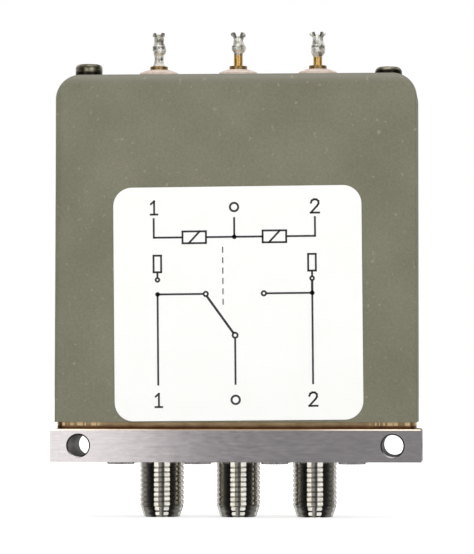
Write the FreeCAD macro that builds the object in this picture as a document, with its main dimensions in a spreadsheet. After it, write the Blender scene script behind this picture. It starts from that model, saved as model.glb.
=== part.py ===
import FreeCAD, Part
import math
import os

import Sketcher

# Latching coaxial changeover switch: one common port and two switched ports with
# threaded coaxial connectors below, a machined RF body, and a covered actuator above.
#
# Frame, in millimetres: +Z up, +X across the ports, the labelled front faces -Y.
# The origin is the centre of the common connector's mating face, so z = 0 is the
# plane of all three connector ends.
#
# The switch is drawn in its first latched state: the common port is joined to port 1,
# and port 2 is joined to its own internal load.

Vector = FreeCAD.Vector
doc = FreeCAD.newDocument("coaxial_switch")


# ------------------------------------------------------------------ driving sizes

SHEET = [
    # alias, millimetres (or a plain count or degrees), what it is
    ("plate_width", 53.55, "base plate across the ports"),
    ("plate_depth", 14.2, "base plate front to back"),
    ("plate_height", 4.76, "base plate thickness"),
    ("plate_edge", 0.2, "bevel round the base plate's top"),
    ("mount_inset", 4.1, "mounting hole from the plate's end"),
    ("mount_radius", 1.55, "mounting hole, clear for a 3 mm screw"),
    ("mount_bevel", 0.2, "bevel at both ends of a mounting hole"),
    ("port_pitch", 11.18, "between neighbouring ports"),
    ("channel_width", 4.4, "RF channel milled into the base plate"),
    ("channel_depth", 2.0, "depth of the RF channel"),
    ("channel_end_gap", 0.5, "termination chip to the channel's end"),
    ("channel_corner", 1.0, "corner radius left by the channel's cutter"),
    ("barrel_length", 8.1, "connector barrel below the base plate"),
    ("barrel_radius", 3.175, "major radius of the coupling thread"),
    ("barrel_pitch", 0.7056, "coupling thread, 36 to the inch"),
    ("thread_crest", 0.44, "flat left on the thread's crest"),
    ("thread_root", 0.04, "flat at the thread's root"),
    ("barrel_bevel", 0.6, "radial bevel at the barrel's mouth"),
    ("barrel_bevel_length", 1.7, "length of that bevel"),
    ("stem_radius", 2.7, "barrel's stem pressed into the base plate"),
    ("socket_radius", 2.3, "socket for the mating connector's sleeve"),
    ("socket_depth", 1.93, "socket mouth to the reference plane"),
    ("insulator_radius", 2.065, "dielectric bead in the barrel"),
    ("contact_radius", 0.635, "centre contact"),
    ("contact_bore", 0.465, "socket in the centre contact"),
    ("contact_bore_depth", 2.9, "depth of that socket"),
    ("contact_slit", 0.16, "slits that let the contact spring"),
    ("contact_slit_depth", 2.2, "length of those slits"),
    ("pad_radius", 1.1, "contact pad in the RF channel"),
    ("pad_height", 0.75, "contact pad above the channel floor"),
    ("load_length", 2.2, "termination chip along the channel"),
    ("load_width", 1.9, "termination chip across the channel"),
    ("load_film", 0.15, "raised contact film on the chip"),
    ("blade_width", 1.6, "jumper blade"),
    ("blade_thickness", 0.25, "jumper blade"),
    ("blade_corner", 0.3, "corner radius of the jumper blade"),
    ("blade_end_gap", 0.25, "blade's end to the middle of its pad"),
    ("blade_clearance", 0.02, "closed blade above its pad"),
    ("contact_travel", 0.8, "lift of a blade from closed to open"),
    ("rod_radius", 0.7, "push rod"),
    ("rod_clearance", 0.05, "push rod in its bore"),
    ("rod_tip_radius", 0.4, "push rod's rivet through the blade"),
    ("rod_cap_radius", 1.5, "push rod's cap"),
    ("rod_cap_height", 0.8, "push rod's cap"),
    ("spring_closed", 3.0, "return spring with its contact closed"),
    ("spring_radius", 1.05, "return spring, centre of the wire"),
    ("spring_wire", 0.13, "radius of the spring wire"),
    ("spring_coils", 4, "turns of the return spring"),
    ("spring_seat_gap", 0.02, "spring's end to its seat"),
    ("ground_thickness", 1.0, "gold-plated ground plate"),
    ("ground_end_step", 0.85, "ground plate inside the base plate's ends"),
    ("ground_face_step", 0.8, "ground plate inside the base plate's faces"),
    ("ground_corner", 1.2, "ground plate's corner radius"),
    ("screw_row", 4.3, "body screws from the middle plane"),
    ("screw_radius", 1.0, "body screw thread"),
    ("screw_clearance", 0.1, "body screw in its clearance hole"),
    ("screw_head_radius", 1.85, "body screw's socket head"),
    ("screw_head_height", 1.2, "body screw's socket head"),
    ("screw_head_proud", 0.28, "how far that head stands out"),
    ("screw_key", 1.5, "hexagon socket across its flats"),
    ("screw_key_depth", 0.7, "depth of the hexagon socket"),
    ("head_clearance", 0.15, "screw head in its counterbore"),
    ("frame_end_gap", 0.5, "actuator frame's floor to the cover's end walls"),
    ("frame_thickness", 1.0, "actuator frame's floor"),
    ("wall_thickness", 0.8, "actuator frame's walls"),
    ("wall_overhang", 3.51, "walls beyond the ends of the yokes"),
    ("wall_margin", 0.5, "walls above the yokes"),
    ("cover_gap", 0.05, "actuator frame inside the cover"),
    ("window_width", 14.4, "window in the walls at each actuator"),
    ("window_inset", 1.6, "window's edge from the coil's ends"),
    ("spring_hole", 1.75, "hole for a return spring in the floor"),
    ("tab_offset", 14.0, "board tabs from the middle"),
    ("tab_width", 5.0, "board tab on the rear wall"),
    ("tab_margin", 2.8, "board tab above the board screw"),
    ("rocker_arm", 4.6, "pivot to the push rod"),
    ("rocker_reach", 5.9, "pivot to the end of the rocker"),
    ("rocker_width", 6.4, "rocker front to back"),
    ("rocker_face", 1.3, "pole face from the pivot's axis"),
    ("rocker_belly", 0.5, "underside from the pivot's axis"),
    ("nose_radius", 0.8, "nose that presses a push rod"),
    ("nose_width", 3.0, "nose front to back"),
    ("nose_clearance", 0.03, "nose above the push rod's cap"),
    ("hub_clearance", 0.1, "rocker's hub to each wall"),
    ("pivot_radius", 0.5, "pivot pin"),
    ("pivot_clearance", 0.05, "pivot pin in the rocker"),
    ("pole_gap", 0.05, "raised arm to its pole face"),
    ("magnet_gap", 0.15, "rocker's hub to the magnet"),
    ("magnet_width", 1.8, "magnet and the yoke's centre leg"),
    ("magnet_depth", 6.0, "magnet and the yoke's centre leg"),
    ("magnet_height", 4.0, "latching magnet"),
    ("core_radius", 1.6, "soft iron core"),
    ("shoe_radius", 1.9, "pole shoe at the core's lower end"),
    ("shoe_height", 0.7, "pole shoe"),
    ("bobbin_rise", 1.0, "bobbin above the pole face"),
    ("bobbin_length", 16.0, "coil bobbin, flange to flange"),
    ("bobbin_flange", 0.6, "bobbin flange thickness"),
    ("bobbin_radius", 3.4, "bobbin flange"),
    ("bobbin_tube", 2.0, "outside of the bobbin's tube"),
    ("bobbin_clearance", 0.03, "core in the bobbin"),
    ("winding_radius", 3.15, "outside of the winding"),
    ("yoke_reach", 6.8, "yoke's half length"),
    ("yoke_thickness", 2.0, "yoke"),
    ("yoke_screw_radius", 0.7, "yoke screw thread"),
    ("yoke_screw_length", 2.4, "yoke screw inside the yoke"),
    ("yoke_head_radius", 1.2, "yoke screw's head"),
    ("yoke_head_height", 0.4, "yoke screw's head"),
    ("cover_end_step", 0.55, "cover inside the base plate's ends"),
    ("cover_face_step", 0.4, "cover inside the base plate's faces"),
    ("cover_height", 50.45, "cover above the ground plate"),
    ("cover_wall", 1.0, "cover wall"),
    ("cover_corner", 3.6, "cover's top corners"),
    ("cover_inner_corner", 1.6, "the same corners inside"),
    ("cover_edge", 0.5, "round along the cover's upright edges"),
    ("cover_top_edge", 1.45, "round along the roof's front and rear edges"),
    ("post_shift", 0.29, "cover posts outwards of the middle between coil and end wall"),
    ("post_radius", 1.9, "cover post"),
    ("post_stem_radius", 1.25, "post's stem staked in the frame"),
    ("post_bevel", 0.3, "bevel at the post's top"),
    ("cover_screw_radius", 1.09, "cover screw thread"),
    ("cover_screw_length", 6.0, "cover screw below its head"),
    ("cover_screw_clearance", 0.11, "cover screw in the cover"),
    ("cover_head_radius", 1.97, "cover screw's head"),
    ("cover_head_height", 1.95, "head of the cover screw at -X"),
    ("cover_head_round", 0.6, "rounded edge of that head"),
    ("domed_head_height", 1.3, "head of the cover screw at +X"),
    ("domed_head_round", 0.8, "rounded edge of that head"),
    ("recess_width", 0.6, "cross recess"),
    ("recess_length", 2.3, "cross recess, end to end"),
    ("recess_depth", 0.9, "cross recess"),
    ("label_width", 35.9, "label"),
    ("label_height", 33.75, "label"),
    ("label_thickness", 0.12, "label"),
    ("label_corner", 2.7, "label's corner radius"),
    ("label_shift", 0.43, "label's middle to the right of the cover's"),
    ("label_rise", 0.25, "label above the cover's lower edge"),
    ("label_tilt", 0.5, "degrees that the label sits askew"),
    ("terminal_pitch", 11.66, "between neighbouring terminals"),
    ("terminal_height", 6.5, "terminal above the cover"),
    ("terminal_radius", 0.65, "terminal's shank"),
    ("terminal_tail", 1.5, "terminal below the cover's roof"),
    ("collar_radius", 1.3, "terminal's collar"),
    ("collar_height", 0.55, "terminal's collar"),
    ("turret_radius", 0.95, "turret round which a wire is soldered"),
    ("turret_low", 3.6, "turret's lower edge above the cover"),
    ("turret_high", 4.9, "turret's upper edge above the cover"),
    ("turret_slope", 0.4, "slope at both edges of the turret"),
    ("fork_depth", 0.75, "length of the terminal's two prongs"),
    ("fork_spread", 0.85, "prong's tip from the terminal's axis"),
    ("fork_root", 0.2, "half width of the notch where the prongs part"),
    ("prong_thickness", 0.4, "prong at its tip"),
    ("bushing_radius", 2.85, "insulating bushing's flange"),
    ("bushing_height", 1.0, "bushing's flange above the cover"),
    ("bushing_rim", 0.6, "height of the flange's straight rim"),
    ("bushing_shoulder", 1.75, "radius where the flange's slope ends"),
    ("bushing_round", 0.2, "round between the rim and the slope"),
    ("bushing_stem", 1.6, "bushing in the cover's roof"),
    ("bushing_ring_radius", 2.1, "bushing's retaining ring"),
    ("bushing_ring_height", 0.5, "bushing's retaining ring"),
    ("board_width", 37.6, "driver board"),
    ("board_height", 18.0, "driver board"),
    ("board_thickness", 1.0, "driver board"),
    ("board_lift", 2.2, "driver board above the frame's walls"),
    ("board_front", 2.2, "board's face behind the middle plane"),
    ("board_screw_radius", 0.7, "board screw thread"),
    ("board_head_radius", 1.3, "board screw's head"),
    ("board_head_height", 0.7, "board screw's head"),
    ("spacer_radius", 1.6, "spacer behind the board"),
    ("board_screw_rise", 12.0, "board screws above the board's lower edge"),
    ("chip_width", 8.7, "logic chip"),
    ("chip_height", 3.9, "logic chip"),
    ("chip_thickness", 1.5, "logic chip"),
    ("chip_leads", 7, "leads on each side of the logic chip"),
    ("chip_lead_pitch", 1.27, "between the logic chip's leads"),
    ("chip_lead_width", 0.42, "logic chip's lead"),
    ("chip_lead_reach", 1.0, "logic chip's lead beyond its body"),
    ("chip_lead_thickness", 0.25, "logic chip's lead"),
    ("transistor_width", 3.0, "driver transistor"),
    ("transistor_height", 1.7, "driver transistor"),
    ("transistor_thickness", 1.1, "driver transistor"),
    ("diode_radius", 0.75, "suppression diode"),
    ("diode_length", 3.5, "suppression diode"),
    ("capacitor_width", 3.5, "capacitor"),
    ("capacitor_height", 2.8, "capacitor"),
    ("capacitor_thickness", 1.9, "capacitor"),
    ("resistor_width", 1.2, "chip resistor"),
    ("resistor_height", 2.0, "chip resistor"),
    ("resistor_thickness", 0.5, "chip resistor"),
    ("resistor_pitch", 2.5, "between chip resistors"),
    ("resistors", 6, "chip resistors in the row"),
    ("transistor_low_rise", 7.8, "lower transistors above the board's lower edge"),
    ("transistor_high_rise", 11.4, "upper transistors above the board's lower edge"),
    ("capacitor_rise", 6.6, "capacitors above the board's lower edge"),
    ("diode_rise", 4.0, "diodes above the board's lower edge"),
    ("diode_pitch", 4.9, "between neighbouring diodes"),
    ("coil_lead_radius", 0.15, "coil's lead"),
    ("coil_lead_inset", 0.65, "coil's leads from the bobbin's rim"),
    ("coil_lead_pitch", 0.45, "between the two leads of a coil"),
    ("supply_lead_radius", 0.25, "lead from a terminal to the board"),
    ("lead_overlap", 2.6, "lead soldered along the board"),
    ("lead_bend", 1.0, "bend in a lead"),
]


class Size:
    """A number that carries the expression which ties it to the sheet."""

    def __init__(self, value, text=None):
        self.value = float(value)
        self.text = text if text is not None else f"({value})"

    def joined(self, sign, other, value):
        return Size(value, f"({self.text} {sign} {other.text})")

    def __add__(self, other):
        other = as_size(other)
        return self.joined("+", other, self.value + other.value)

    def __sub__(self, other):
        other = as_size(other)
        return self.joined("-", other, self.value - other.value)

    def __mul__(self, other):
        other = as_size(other)
        return self.joined("*", other, self.value * other.value)

    def __truediv__(self, other):
        other = as_size(other)
        return self.joined("/", other, self.value / other.value)

    def __radd__(self, other):
        return as_size(other) + self

    def __rsub__(self, other):
        return as_size(other) - self

    def __rmul__(self, other):
        return as_size(other) * self

    def __neg__(self):
        return Size(-self.value, f"(-1 * {self.text})")


def as_size(number):
    return number if isinstance(number, Size) else Size(number)


class Sizes:
    """The sheet's cells by name."""


def fill_sheet():
    sheet = doc.addObject("Spreadsheet::Sheet", "sizes")
    cells = Sizes()
    for row, (alias, value, note) in enumerate(SHEET, start=1):
        sheet.set(f"A{row}", note)
        sheet.set(f"B{row}", str(value))
        sheet.setAlias(f"B{row}", alias)
        setattr(cells, alias, Size(value, f"sizes.{alias}"))
    doc.recompute()
    return cells


s = fill_sheet()


# ------------------------------------------------------------------ levels and places

plate_bottom = s.barrel_length
plate_top = plate_bottom + s.plate_height
channel_floor = plate_top - s.channel_depth
pad_top = channel_floor + s.pad_height
ground_top = plate_top + s.ground_thickness
floor_top = ground_top + s.frame_thickness
cover_width = s.plate_width - 2 * s.cover_end_step
cover_depth = s.plate_depth - 2 * s.cover_face_step
cover_top = ground_top + s.cover_height
roof = cover_top - s.cover_wall
cover_inside = cover_depth / 2 - s.cover_wall
cover_inside_end = cover_width / 2 - s.cover_wall

blade_bottom = pad_top + s.blade_clearance
blade_top = blade_bottom + s.blade_thickness
cap_bottom = ground_top + s.spring_closed
cap_top = cap_bottom + s.rod_cap_height
pivot_level = cap_top + s.nose_clearance + s.nose_radius + s.contact_travel / 2

rocker_tilt = Size(
    math.degrees(math.asin(s.contact_travel.value / 2 / s.rocker_arm.value)),
    "asin(sizes.contact_travel / 2 / sizes.rocker_arm)",
)
tilt_cos = Size(math.cos(math.radians(rocker_tilt.value)), f"cos({rocker_tilt.text})")
tilt_tan = Size(math.tan(math.radians(rocker_tilt.value)), f"tan({rocker_tilt.text})")

pole_level = pivot_level + s.rocker_face + s.pole_gap
bobbin_bottom = pole_level + s.bobbin_rise
yoke_bottom = bobbin_bottom + s.bobbin_length
yoke_top = yoke_bottom + s.yoke_thickness
magnet_bottom = pivot_level + s.rocker_face + s.magnet_gap
magnet_top = magnet_bottom + s.magnet_height
wall_outside = cover_inside - s.cover_gap
wall_inside = wall_outside - s.wall_thickness
wall_top = yoke_top + s.wall_margin

inner_rod_x = s.port_pitch / 2
pivot_x = inner_rod_x + s.rocker_arm
outer_rod_x = pivot_x + s.rocker_arm
load_x = 2 * outer_rod_x - s.port_pitch
channel_end = load_x + s.load_length / 2 + s.channel_end_gap
post_x = (outer_rod_x + s.bobbin_radius + cover_inside_end) / 2 + s.post_shift

board_bottom = wall_top + s.board_lift
board_top = board_bottom + s.board_height
board_back = s.board_front + s.board_thickness

PORTS = [("port_1", -s.port_pitch), ("common_port", Size(0)), ("port_2", s.port_pitch)]
TERMINALS = [
    ("terminal_1", -s.terminal_pitch),
    ("common_terminal", Size(0)),
    ("terminal_2", s.terminal_pitch),
]
# name, middle of the blade, length of the blade, closed in the drawn state
inner_blade = s.port_pitch - 2 * s.blade_end_gap
outer_blade = load_x - s.port_pitch - 2 * s.blade_end_gap
CONTACTS = [
    ("load_1", -outer_rod_x, outer_blade, False),
    ("path_1", -inner_rod_x, inner_blade, True),
    ("path_2", inner_rod_x, inner_blade, False),
    ("load_2", outer_rod_x, outer_blade, True),
]
SCREW_COLUMNS = [half * s.port_pitch / 2 for half in (-3, -1, 1, 3)]
SIDES = (-1, 1)
SCREW_HEADS = [
    (-1, s.cover_head_height, s.cover_head_round),
    (1, s.domed_head_height, s.domed_head_round),
]
DIODE_STEPS = (-2.5, -1.5, 1.5, 2.5)


# ------------------------------------------------------------------ drawing helpers

nodes = {}


def keep(name, thing):
    """Gives the finished piece its label, which is also its file's name."""
    thing.Label = name
    nodes[name] = thing
    return thing


def tie(thing, prop, size):
    thing.setExpression(prop, as_size(size).text)


def move(thing, x=None, y=None, z=None):
    for axis, size in (("x", x), ("y", y), ("z", z)):
        if size is not None:
            tie(thing, f"Placement.Base.{axis}", size)


def new_body(name):
    body = doc.addObject("PartDesign::Body", name)
    body.Label = name
    return body


def new_sketch(body, plane, name, offset=None):
    """A sketch on one of the body's own planes: XY, XZ (facing the front) or YZ."""
    sketch = body.newObject("Sketcher::SketchObject", name)
    origin_plane = next(f for f in body.Origin.OriginFeatures if f.Role == f"{plane}_Plane")
    sketch.AttachmentSupport = [(origin_plane, "")]
    sketch.MapMode = "FlatFace"
    if offset is not None:
        tie(sketch, "AttachmentOffset.Base.z", offset)
    return sketch


def pin_down(sketch, shape, vertex, x, y):
    """Ties a vertex or a centre to the sketch's origin."""
    for kind, axis, size in (("DistanceX", -2, as_size(x)), ("DistanceY", -1, as_size(y))):
        if size.text == "(0)":
            sketch.addConstraint(Sketcher.Constraint("PointOnObject", shape, vertex, axis))
            continue
        number = sketch.addConstraint(
            Sketcher.Constraint(kind, -1, 1, shape, vertex, size.value)
        )
        tie(sketch, f"Constraints[{number}]", size)


def outline(sketch, points):
    """A closed outline of straight lines through the given points."""
    sized = [(as_size(x), as_size(y)) for x, y in points]
    spots = [Vector(x.value, y.value, 0) for x, y in sized]
    lines = [
        sketch.addGeometry(Part.LineSegment(start, end), False)
        for start, end in zip(spots, spots[1:] + spots[:1])
    ]
    for line, following in zip(lines, lines[1:] + lines[:1]):
        sketch.addConstraint(Sketcher.Constraint("Coincident", line, 2, following, 1))
    for line, (x, y) in zip(lines, sized):
        pin_down(sketch, line, 1, x, y)


def rectangle(sketch, left, right, low, high):
    outline(sketch, [(left, low), (right, low), (right, high), (left, high)])


def centred(sketch, width, depth, x=0, y=0):
    rectangle(sketch, x - width / 2, x + width / 2, y - depth / 2, y + depth / 2)


def circle(sketch, x, y, radius):
    x, y, radius = as_size(x), as_size(y), as_size(radius)
    shape = sketch.addGeometry(
        Part.Circle(Vector(x.value, y.value, 0), Vector(0, 0, 1), radius.value), False
    )
    pin_down(sketch, shape, 3, x, y)
    number = sketch.addConstraint(Sketcher.Constraint("Radius", shape, radius.value))
    tie(sketch, f"Constraints[{number}]", radius)


def hexagon(sketch, across_flats):
    corner = across_flats / math.sqrt(3)
    turns = [math.radians(60 * side) for side in range(6)]
    outline(sketch, [(corner * math.cos(turn), corner * math.sin(turn)) for turn in turns])


def extrude(body, kind, sketch, length, name, both=False, back=False):
    feature = body.newObject(f"PartDesign::{kind}", name)
    feature.Profile = sketch
    feature.Type = "Length"
    tie(feature, "Length", length)
    feature.Midplane = both
    feature.Reversed = back
    doc.recompute()
    return feature


def pad(body, sketch, length, name, both=False, back=False):
    return extrude(body, "Pad", sketch, length, name, both, back)


def pocket(body, sketch, length, name, both=False, back=False):
    """A cut that must take something away."""
    volume = body.Shape.Volume
    feature = extrude(body, "Pocket", sketch, length, name, both, back)
    if not body.Shape.Volume < volume:
        raise RuntimeError(f"{name} cuts nothing")
    return feature


def revolve(name, points):
    """A turned piece: the outline is given as radius and height about the Z axis."""
    body = new_body(name)
    sketch = new_sketch(body, "XZ", f"{name}_profile")
    outline(sketch, points)
    doc.recompute()
    feature = body.newObject("PartDesign::Revolution", f"{name}_turned")
    feature.Profile = sketch
    feature.ReferenceAxis = (sketch, ["V_Axis"])
    feature.Angle = 360
    doc.recompute()
    return body


def round_edges(body, kind, size, name, wanted):
    """Fillets or chamfers the edges of the body that the test picks out."""
    base = body.Tip
    edges = [
        f"Edge{number}"
        for number, edge in enumerate(base.Shape.Edges, start=1)
        if wanted(edge)
    ]
    feature = body.newObject(f"PartDesign::{kind}", name)
    feature.Base = (base, edges)
    tie(feature, "Radius" if kind == "Fillet" else "Size", size)
    doc.recompute()
    return feature


def spread(edge, axis):
    return getattr(edge.BoundBox, f"{axis}Length")


def middle(edge, axis):
    box = edge.BoundBox
    return (getattr(box, f"{axis}Min") + getattr(box, f"{axis}Max")) / 2


def upright(edge):
    return spread(edge, "X") < 1e-6 and spread(edge, "Y") < 1e-6


def at_level(edge, level):
    return spread(edge, "Z") < 1e-6 and abs(middle(edge, "Z") - level.value) < 1e-6


def group(name, members):
    """Identical loose pieces that share one node."""
    compound = doc.addObject("Part::Compound", name)
    compound.Links = members
    doc.recompute()
    return keep(name, compound)


# ------------------------------------------------------------------ RF body

def make_base_plate():
    body = new_body("base_plate")
    blank = new_sketch(body, "XY", "plate_outline", plate_bottom)
    centred(blank, s.plate_width, s.plate_depth)
    pad(body, blank, s.plate_height, "plate_blank")
    round_edges(
        body, "Chamfer", s.plate_edge, "plate_bevel", lambda edge: at_level(edge, plate_top)
    )

    channel = new_sketch(body, "XY", "channel_outline", plate_top)
    centred(channel, 2 * channel_end, s.channel_width)
    pocket(body, channel, s.channel_depth, "channel")
    round_edges(
        body,
        "Fillet",
        s.channel_corner,
        "channel_corners",
        lambda edge: upright(edge) and abs(abs(middle(edge, "X")) - channel_end.value) < 1e-6,
    )

    seats = new_sketch(body, "XY", "connector_seats_outline", plate_bottom)
    for _, x in PORTS:
        circle(seats, x, 0, s.stem_radius)
    pocket(body, seats, channel_floor - plate_bottom, "connector_seats", back=True)

    for name, radius, depth in (
        ("screw_holes", s.screw_radius + s.screw_clearance, s.plate_height),
        (
            "counterbores",
            s.screw_head_radius + s.head_clearance,
            s.screw_head_height - s.screw_head_proud,
        ),
    ):
        holes = new_sketch(body, "XY", f"{name}_outline", plate_bottom)
        for x in SCREW_COLUMNS:
            for side in SIDES:
                circle(holes, x, side * s.screw_row, radius)
        pocket(body, holes, depth, name, back=True)

    mounts = new_sketch(body, "XZ", "mounting_holes_outline")
    mount_x = s.plate_width / 2 - s.mount_inset
    for side in SIDES:
        circle(mounts, side * mount_x, plate_bottom + s.plate_height / 2, s.mount_radius)
    pocket(body, mounts, s.plate_depth, "mounting_holes", both=True)
    round_edges(
        body,
        "Chamfer",
        s.mount_bevel,
        "mounting_hole_bevels",
        lambda edge: abs(getattr(edge.Curve, "Radius", 0) - s.mount_radius.value) < 1e-6,
    )
    keep("base_plate", body)


def make_ground_plate():
    body = new_body("ground_plate")
    blank = new_sketch(body, "XY", "ground_outline", plate_top)
    centred(
        blank,
        s.plate_width - 2 * s.ground_end_step,
        s.plate_depth - 2 * s.ground_face_step,
    )
    pad(body, blank, s.ground_thickness, "ground_blank")
    round_edges(body, "Fillet", s.ground_corner, "ground_corners", upright)
    holes = new_sketch(body, "XY", "ground_holes_outline", plate_top)
    for _, x, _, _ in CONTACTS:
        circle(holes, x, 0, s.rod_radius + s.rod_clearance)
    for x in SCREW_COLUMNS:
        for side in SIDES:
            circle(holes, x, side * s.screw_row, s.screw_radius + s.screw_clearance)
    pocket(body, holes, s.ground_thickness, "ground_holes", back=True)
    keep("ground_plate", body)


def make_barrel(name, x):
    """Threaded outer conductor of one connector."""
    body = revolve(
        name,
        [
            (s.socket_radius, 0),
            (s.barrel_radius - s.barrel_bevel, 0),
            (s.barrel_radius, s.barrel_bevel_length),
            (s.barrel_radius, plate_bottom),
            (s.stem_radius, plate_bottom),
            (s.stem_radius, channel_floor),
            (s.insulator_radius, channel_floor),
            (s.insulator_radius, s.socket_depth),
            (s.socket_radius, s.socket_depth),
        ],
    )
    # The thread's two flanks stand 60 degrees apart, and the groove is drawn a little
    # past the crest so that it cuts clear.
    slope = math.tan(math.radians(30))
    root_half = s.thread_root / 2
    root_depth = (s.barrel_pitch - s.thread_crest - s.thread_root) / (2 * slope)
    overcut = s.thread_crest / 4
    outer = s.barrel_radius + overcut
    outer_half = root_half + (root_depth + overcut) * slope
    start = -s.barrel_pitch / 2
    groove = new_sketch(body, "XZ", f"{name}_groove")
    outline(
        groove,
        [
            (s.barrel_radius - root_depth, start - root_half),
            (outer, start - outer_half),
            (outer, start + outer_half),
            (s.barrel_radius - root_depth, start + root_half),
        ],
    )
    doc.recompute()
    thread = body.newObject("PartDesign::SubtractiveHelix", f"{name}_thread")
    thread.Profile = groove
    thread.ReferenceAxis = (groove, ["V_Axis"])
    thread.Mode = 0
    tie(thread, "Pitch", s.barrel_pitch)
    tie(thread, "Height", plate_bottom)
    doc.recompute()
    move(body, x=x)
    keep(name, body)


def make_insulator(name, x):
    body = revolve(
        name,
        [
            (s.contact_radius, s.socket_depth),
            (s.insulator_radius, s.socket_depth),
            (s.insulator_radius, channel_floor),
            (s.contact_radius, channel_floor),
        ],
    )
    move(body, x=x)
    return body


def make_contact(name, x):
    """Centre contact: a slit socket below and a pad in the RF channel above."""
    bore_end = s.socket_depth + s.contact_bore_depth
    body = revolve(
        name,
        [
            (s.contact_bore, s.socket_depth),
            (s.contact_radius, s.socket_depth),
            (s.contact_radius, channel_floor),
            (s.pad_radius, channel_floor),
            (s.pad_radius, pad_top),
            (0, pad_top),
            (0, bore_end),
            (s.contact_bore, bore_end),
        ],
    )
    for number, (width, depth) in enumerate(
        [(2 * s.pad_radius, s.contact_slit), (s.contact_slit, 2 * s.pad_radius)], start=1
    ):
        slit = new_sketch(body, "XY", f"{name}_slit_outline_{number}", s.socket_depth)
        centred(slit, width, depth)
        pocket(body, slit, s.contact_slit_depth, f"{name}_slit_{number}", back=True)
    move(body, x=x)
    keep(name, body)


def make_load(name, side):
    """50 ohm termination chip with a raised film where the blade lands."""
    body = new_body(name)
    near = load_x - s.load_length / 2
    far = load_x + s.load_length / 2
    substrate = new_sketch(body, "XY", f"{name}_outline", channel_floor)
    centred(substrate, s.load_length, s.load_width, side * load_x, as_size(0))
    pad(body, substrate, s.pad_height - s.load_film, f"{name}_substrate")
    film = new_sketch(body, "XY", f"{name}_film_outline", pad_top - s.load_film)
    edges = sorted((side * near, side * (near + far) / 2), key=lambda edge: edge.value)
    rectangle(film, edges[0], edges[1], -s.blade_width / 2, s.blade_width / 2)
    pad(body, film, s.load_film, f"{name}_film")
    keep(name, body)


def make_body_screw(x, side):
    seat = plate_bottom + s.screw_head_height - s.screw_head_proud
    low = plate_bottom - s.screw_head_proud
    bevel = s.head_clearance
    body = revolve(
        "body_screw",
        [
            (0, low),
            (s.screw_head_radius - bevel, low),
            (s.screw_head_radius, low + bevel),
            (s.screw_head_radius, seat),
            (s.screw_radius, seat),
            (s.screw_radius, floor_top - s.screw_clearance),
            (0, floor_top - s.screw_clearance),
        ],
    )
    key = new_sketch(body, "XY", "screw_key_outline", low)
    hexagon(key, s.screw_key)
    pocket(body, key, s.screw_key_depth, "screw_key_socket", back=True)
    move(body, x=x, y=side * s.screw_row)
    return body


# ------------------------------------------------------------------ switching contacts

def make_blade(name, x, length, lift):
    """Springy jumper that bridges two pads."""
    body = new_body(name)
    strip = new_sketch(body, "XY", f"{name}_outline", blade_bottom)
    centred(strip, length, s.blade_width)
    circle(strip, 0, 0, s.rod_tip_radius)
    pad(body, strip, s.blade_thickness, f"{name}_strip")
    round_edges(
        body,
        "Fillet",
        s.blade_corner,
        f"{name}_corners",
        lambda edge: upright(edge) and abs(middle(edge, "X")) > s.rod_radius.value,
    )
    move(body, x=x, z=lift)
    keep(name, body)


def make_push_rod(name, x, lift):
    bevel = s.rod_cap_height / 5
    body = revolve(
        name,
        [
            (0, blade_bottom),
            (s.rod_tip_radius, blade_bottom),
            (s.rod_tip_radius, blade_top),
            (s.rod_radius, blade_top),
            (s.rod_radius, cap_bottom),
            (s.rod_cap_radius, cap_bottom),
            (s.rod_cap_radius, cap_top - bevel),
            (s.rod_cap_radius - bevel, cap_top),
            (0, cap_top),
        ],
    )
    move(body, x=x, z=lift)
    keep(name, body)


def make_return_spring(name, x, lift):
    """Coil spring between the ground plate and the push rod's cap."""
    body = new_body(name)
    wire = new_sketch(body, "XZ", f"{name}_wire")
    inset = s.spring_wire + s.spring_seat_gap
    circle(wire, s.spring_radius, ground_top + inset, s.spring_wire)
    doc.recompute()
    rise = s.spring_closed + lift - 2 * inset
    coil = body.newObject("PartDesign::AdditiveHelix", f"{name}_coil")
    coil.Profile = wire
    coil.ReferenceAxis = (wire, ["V_Axis"])
    coil.Mode = 0
    tie(coil, "Pitch", rise / s.spring_coils)
    tie(coil, "Height", rise)
    doc.recompute()
    move(body, x=x)
    keep(name, body)


# ------------------------------------------------------------------ actuator

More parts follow.
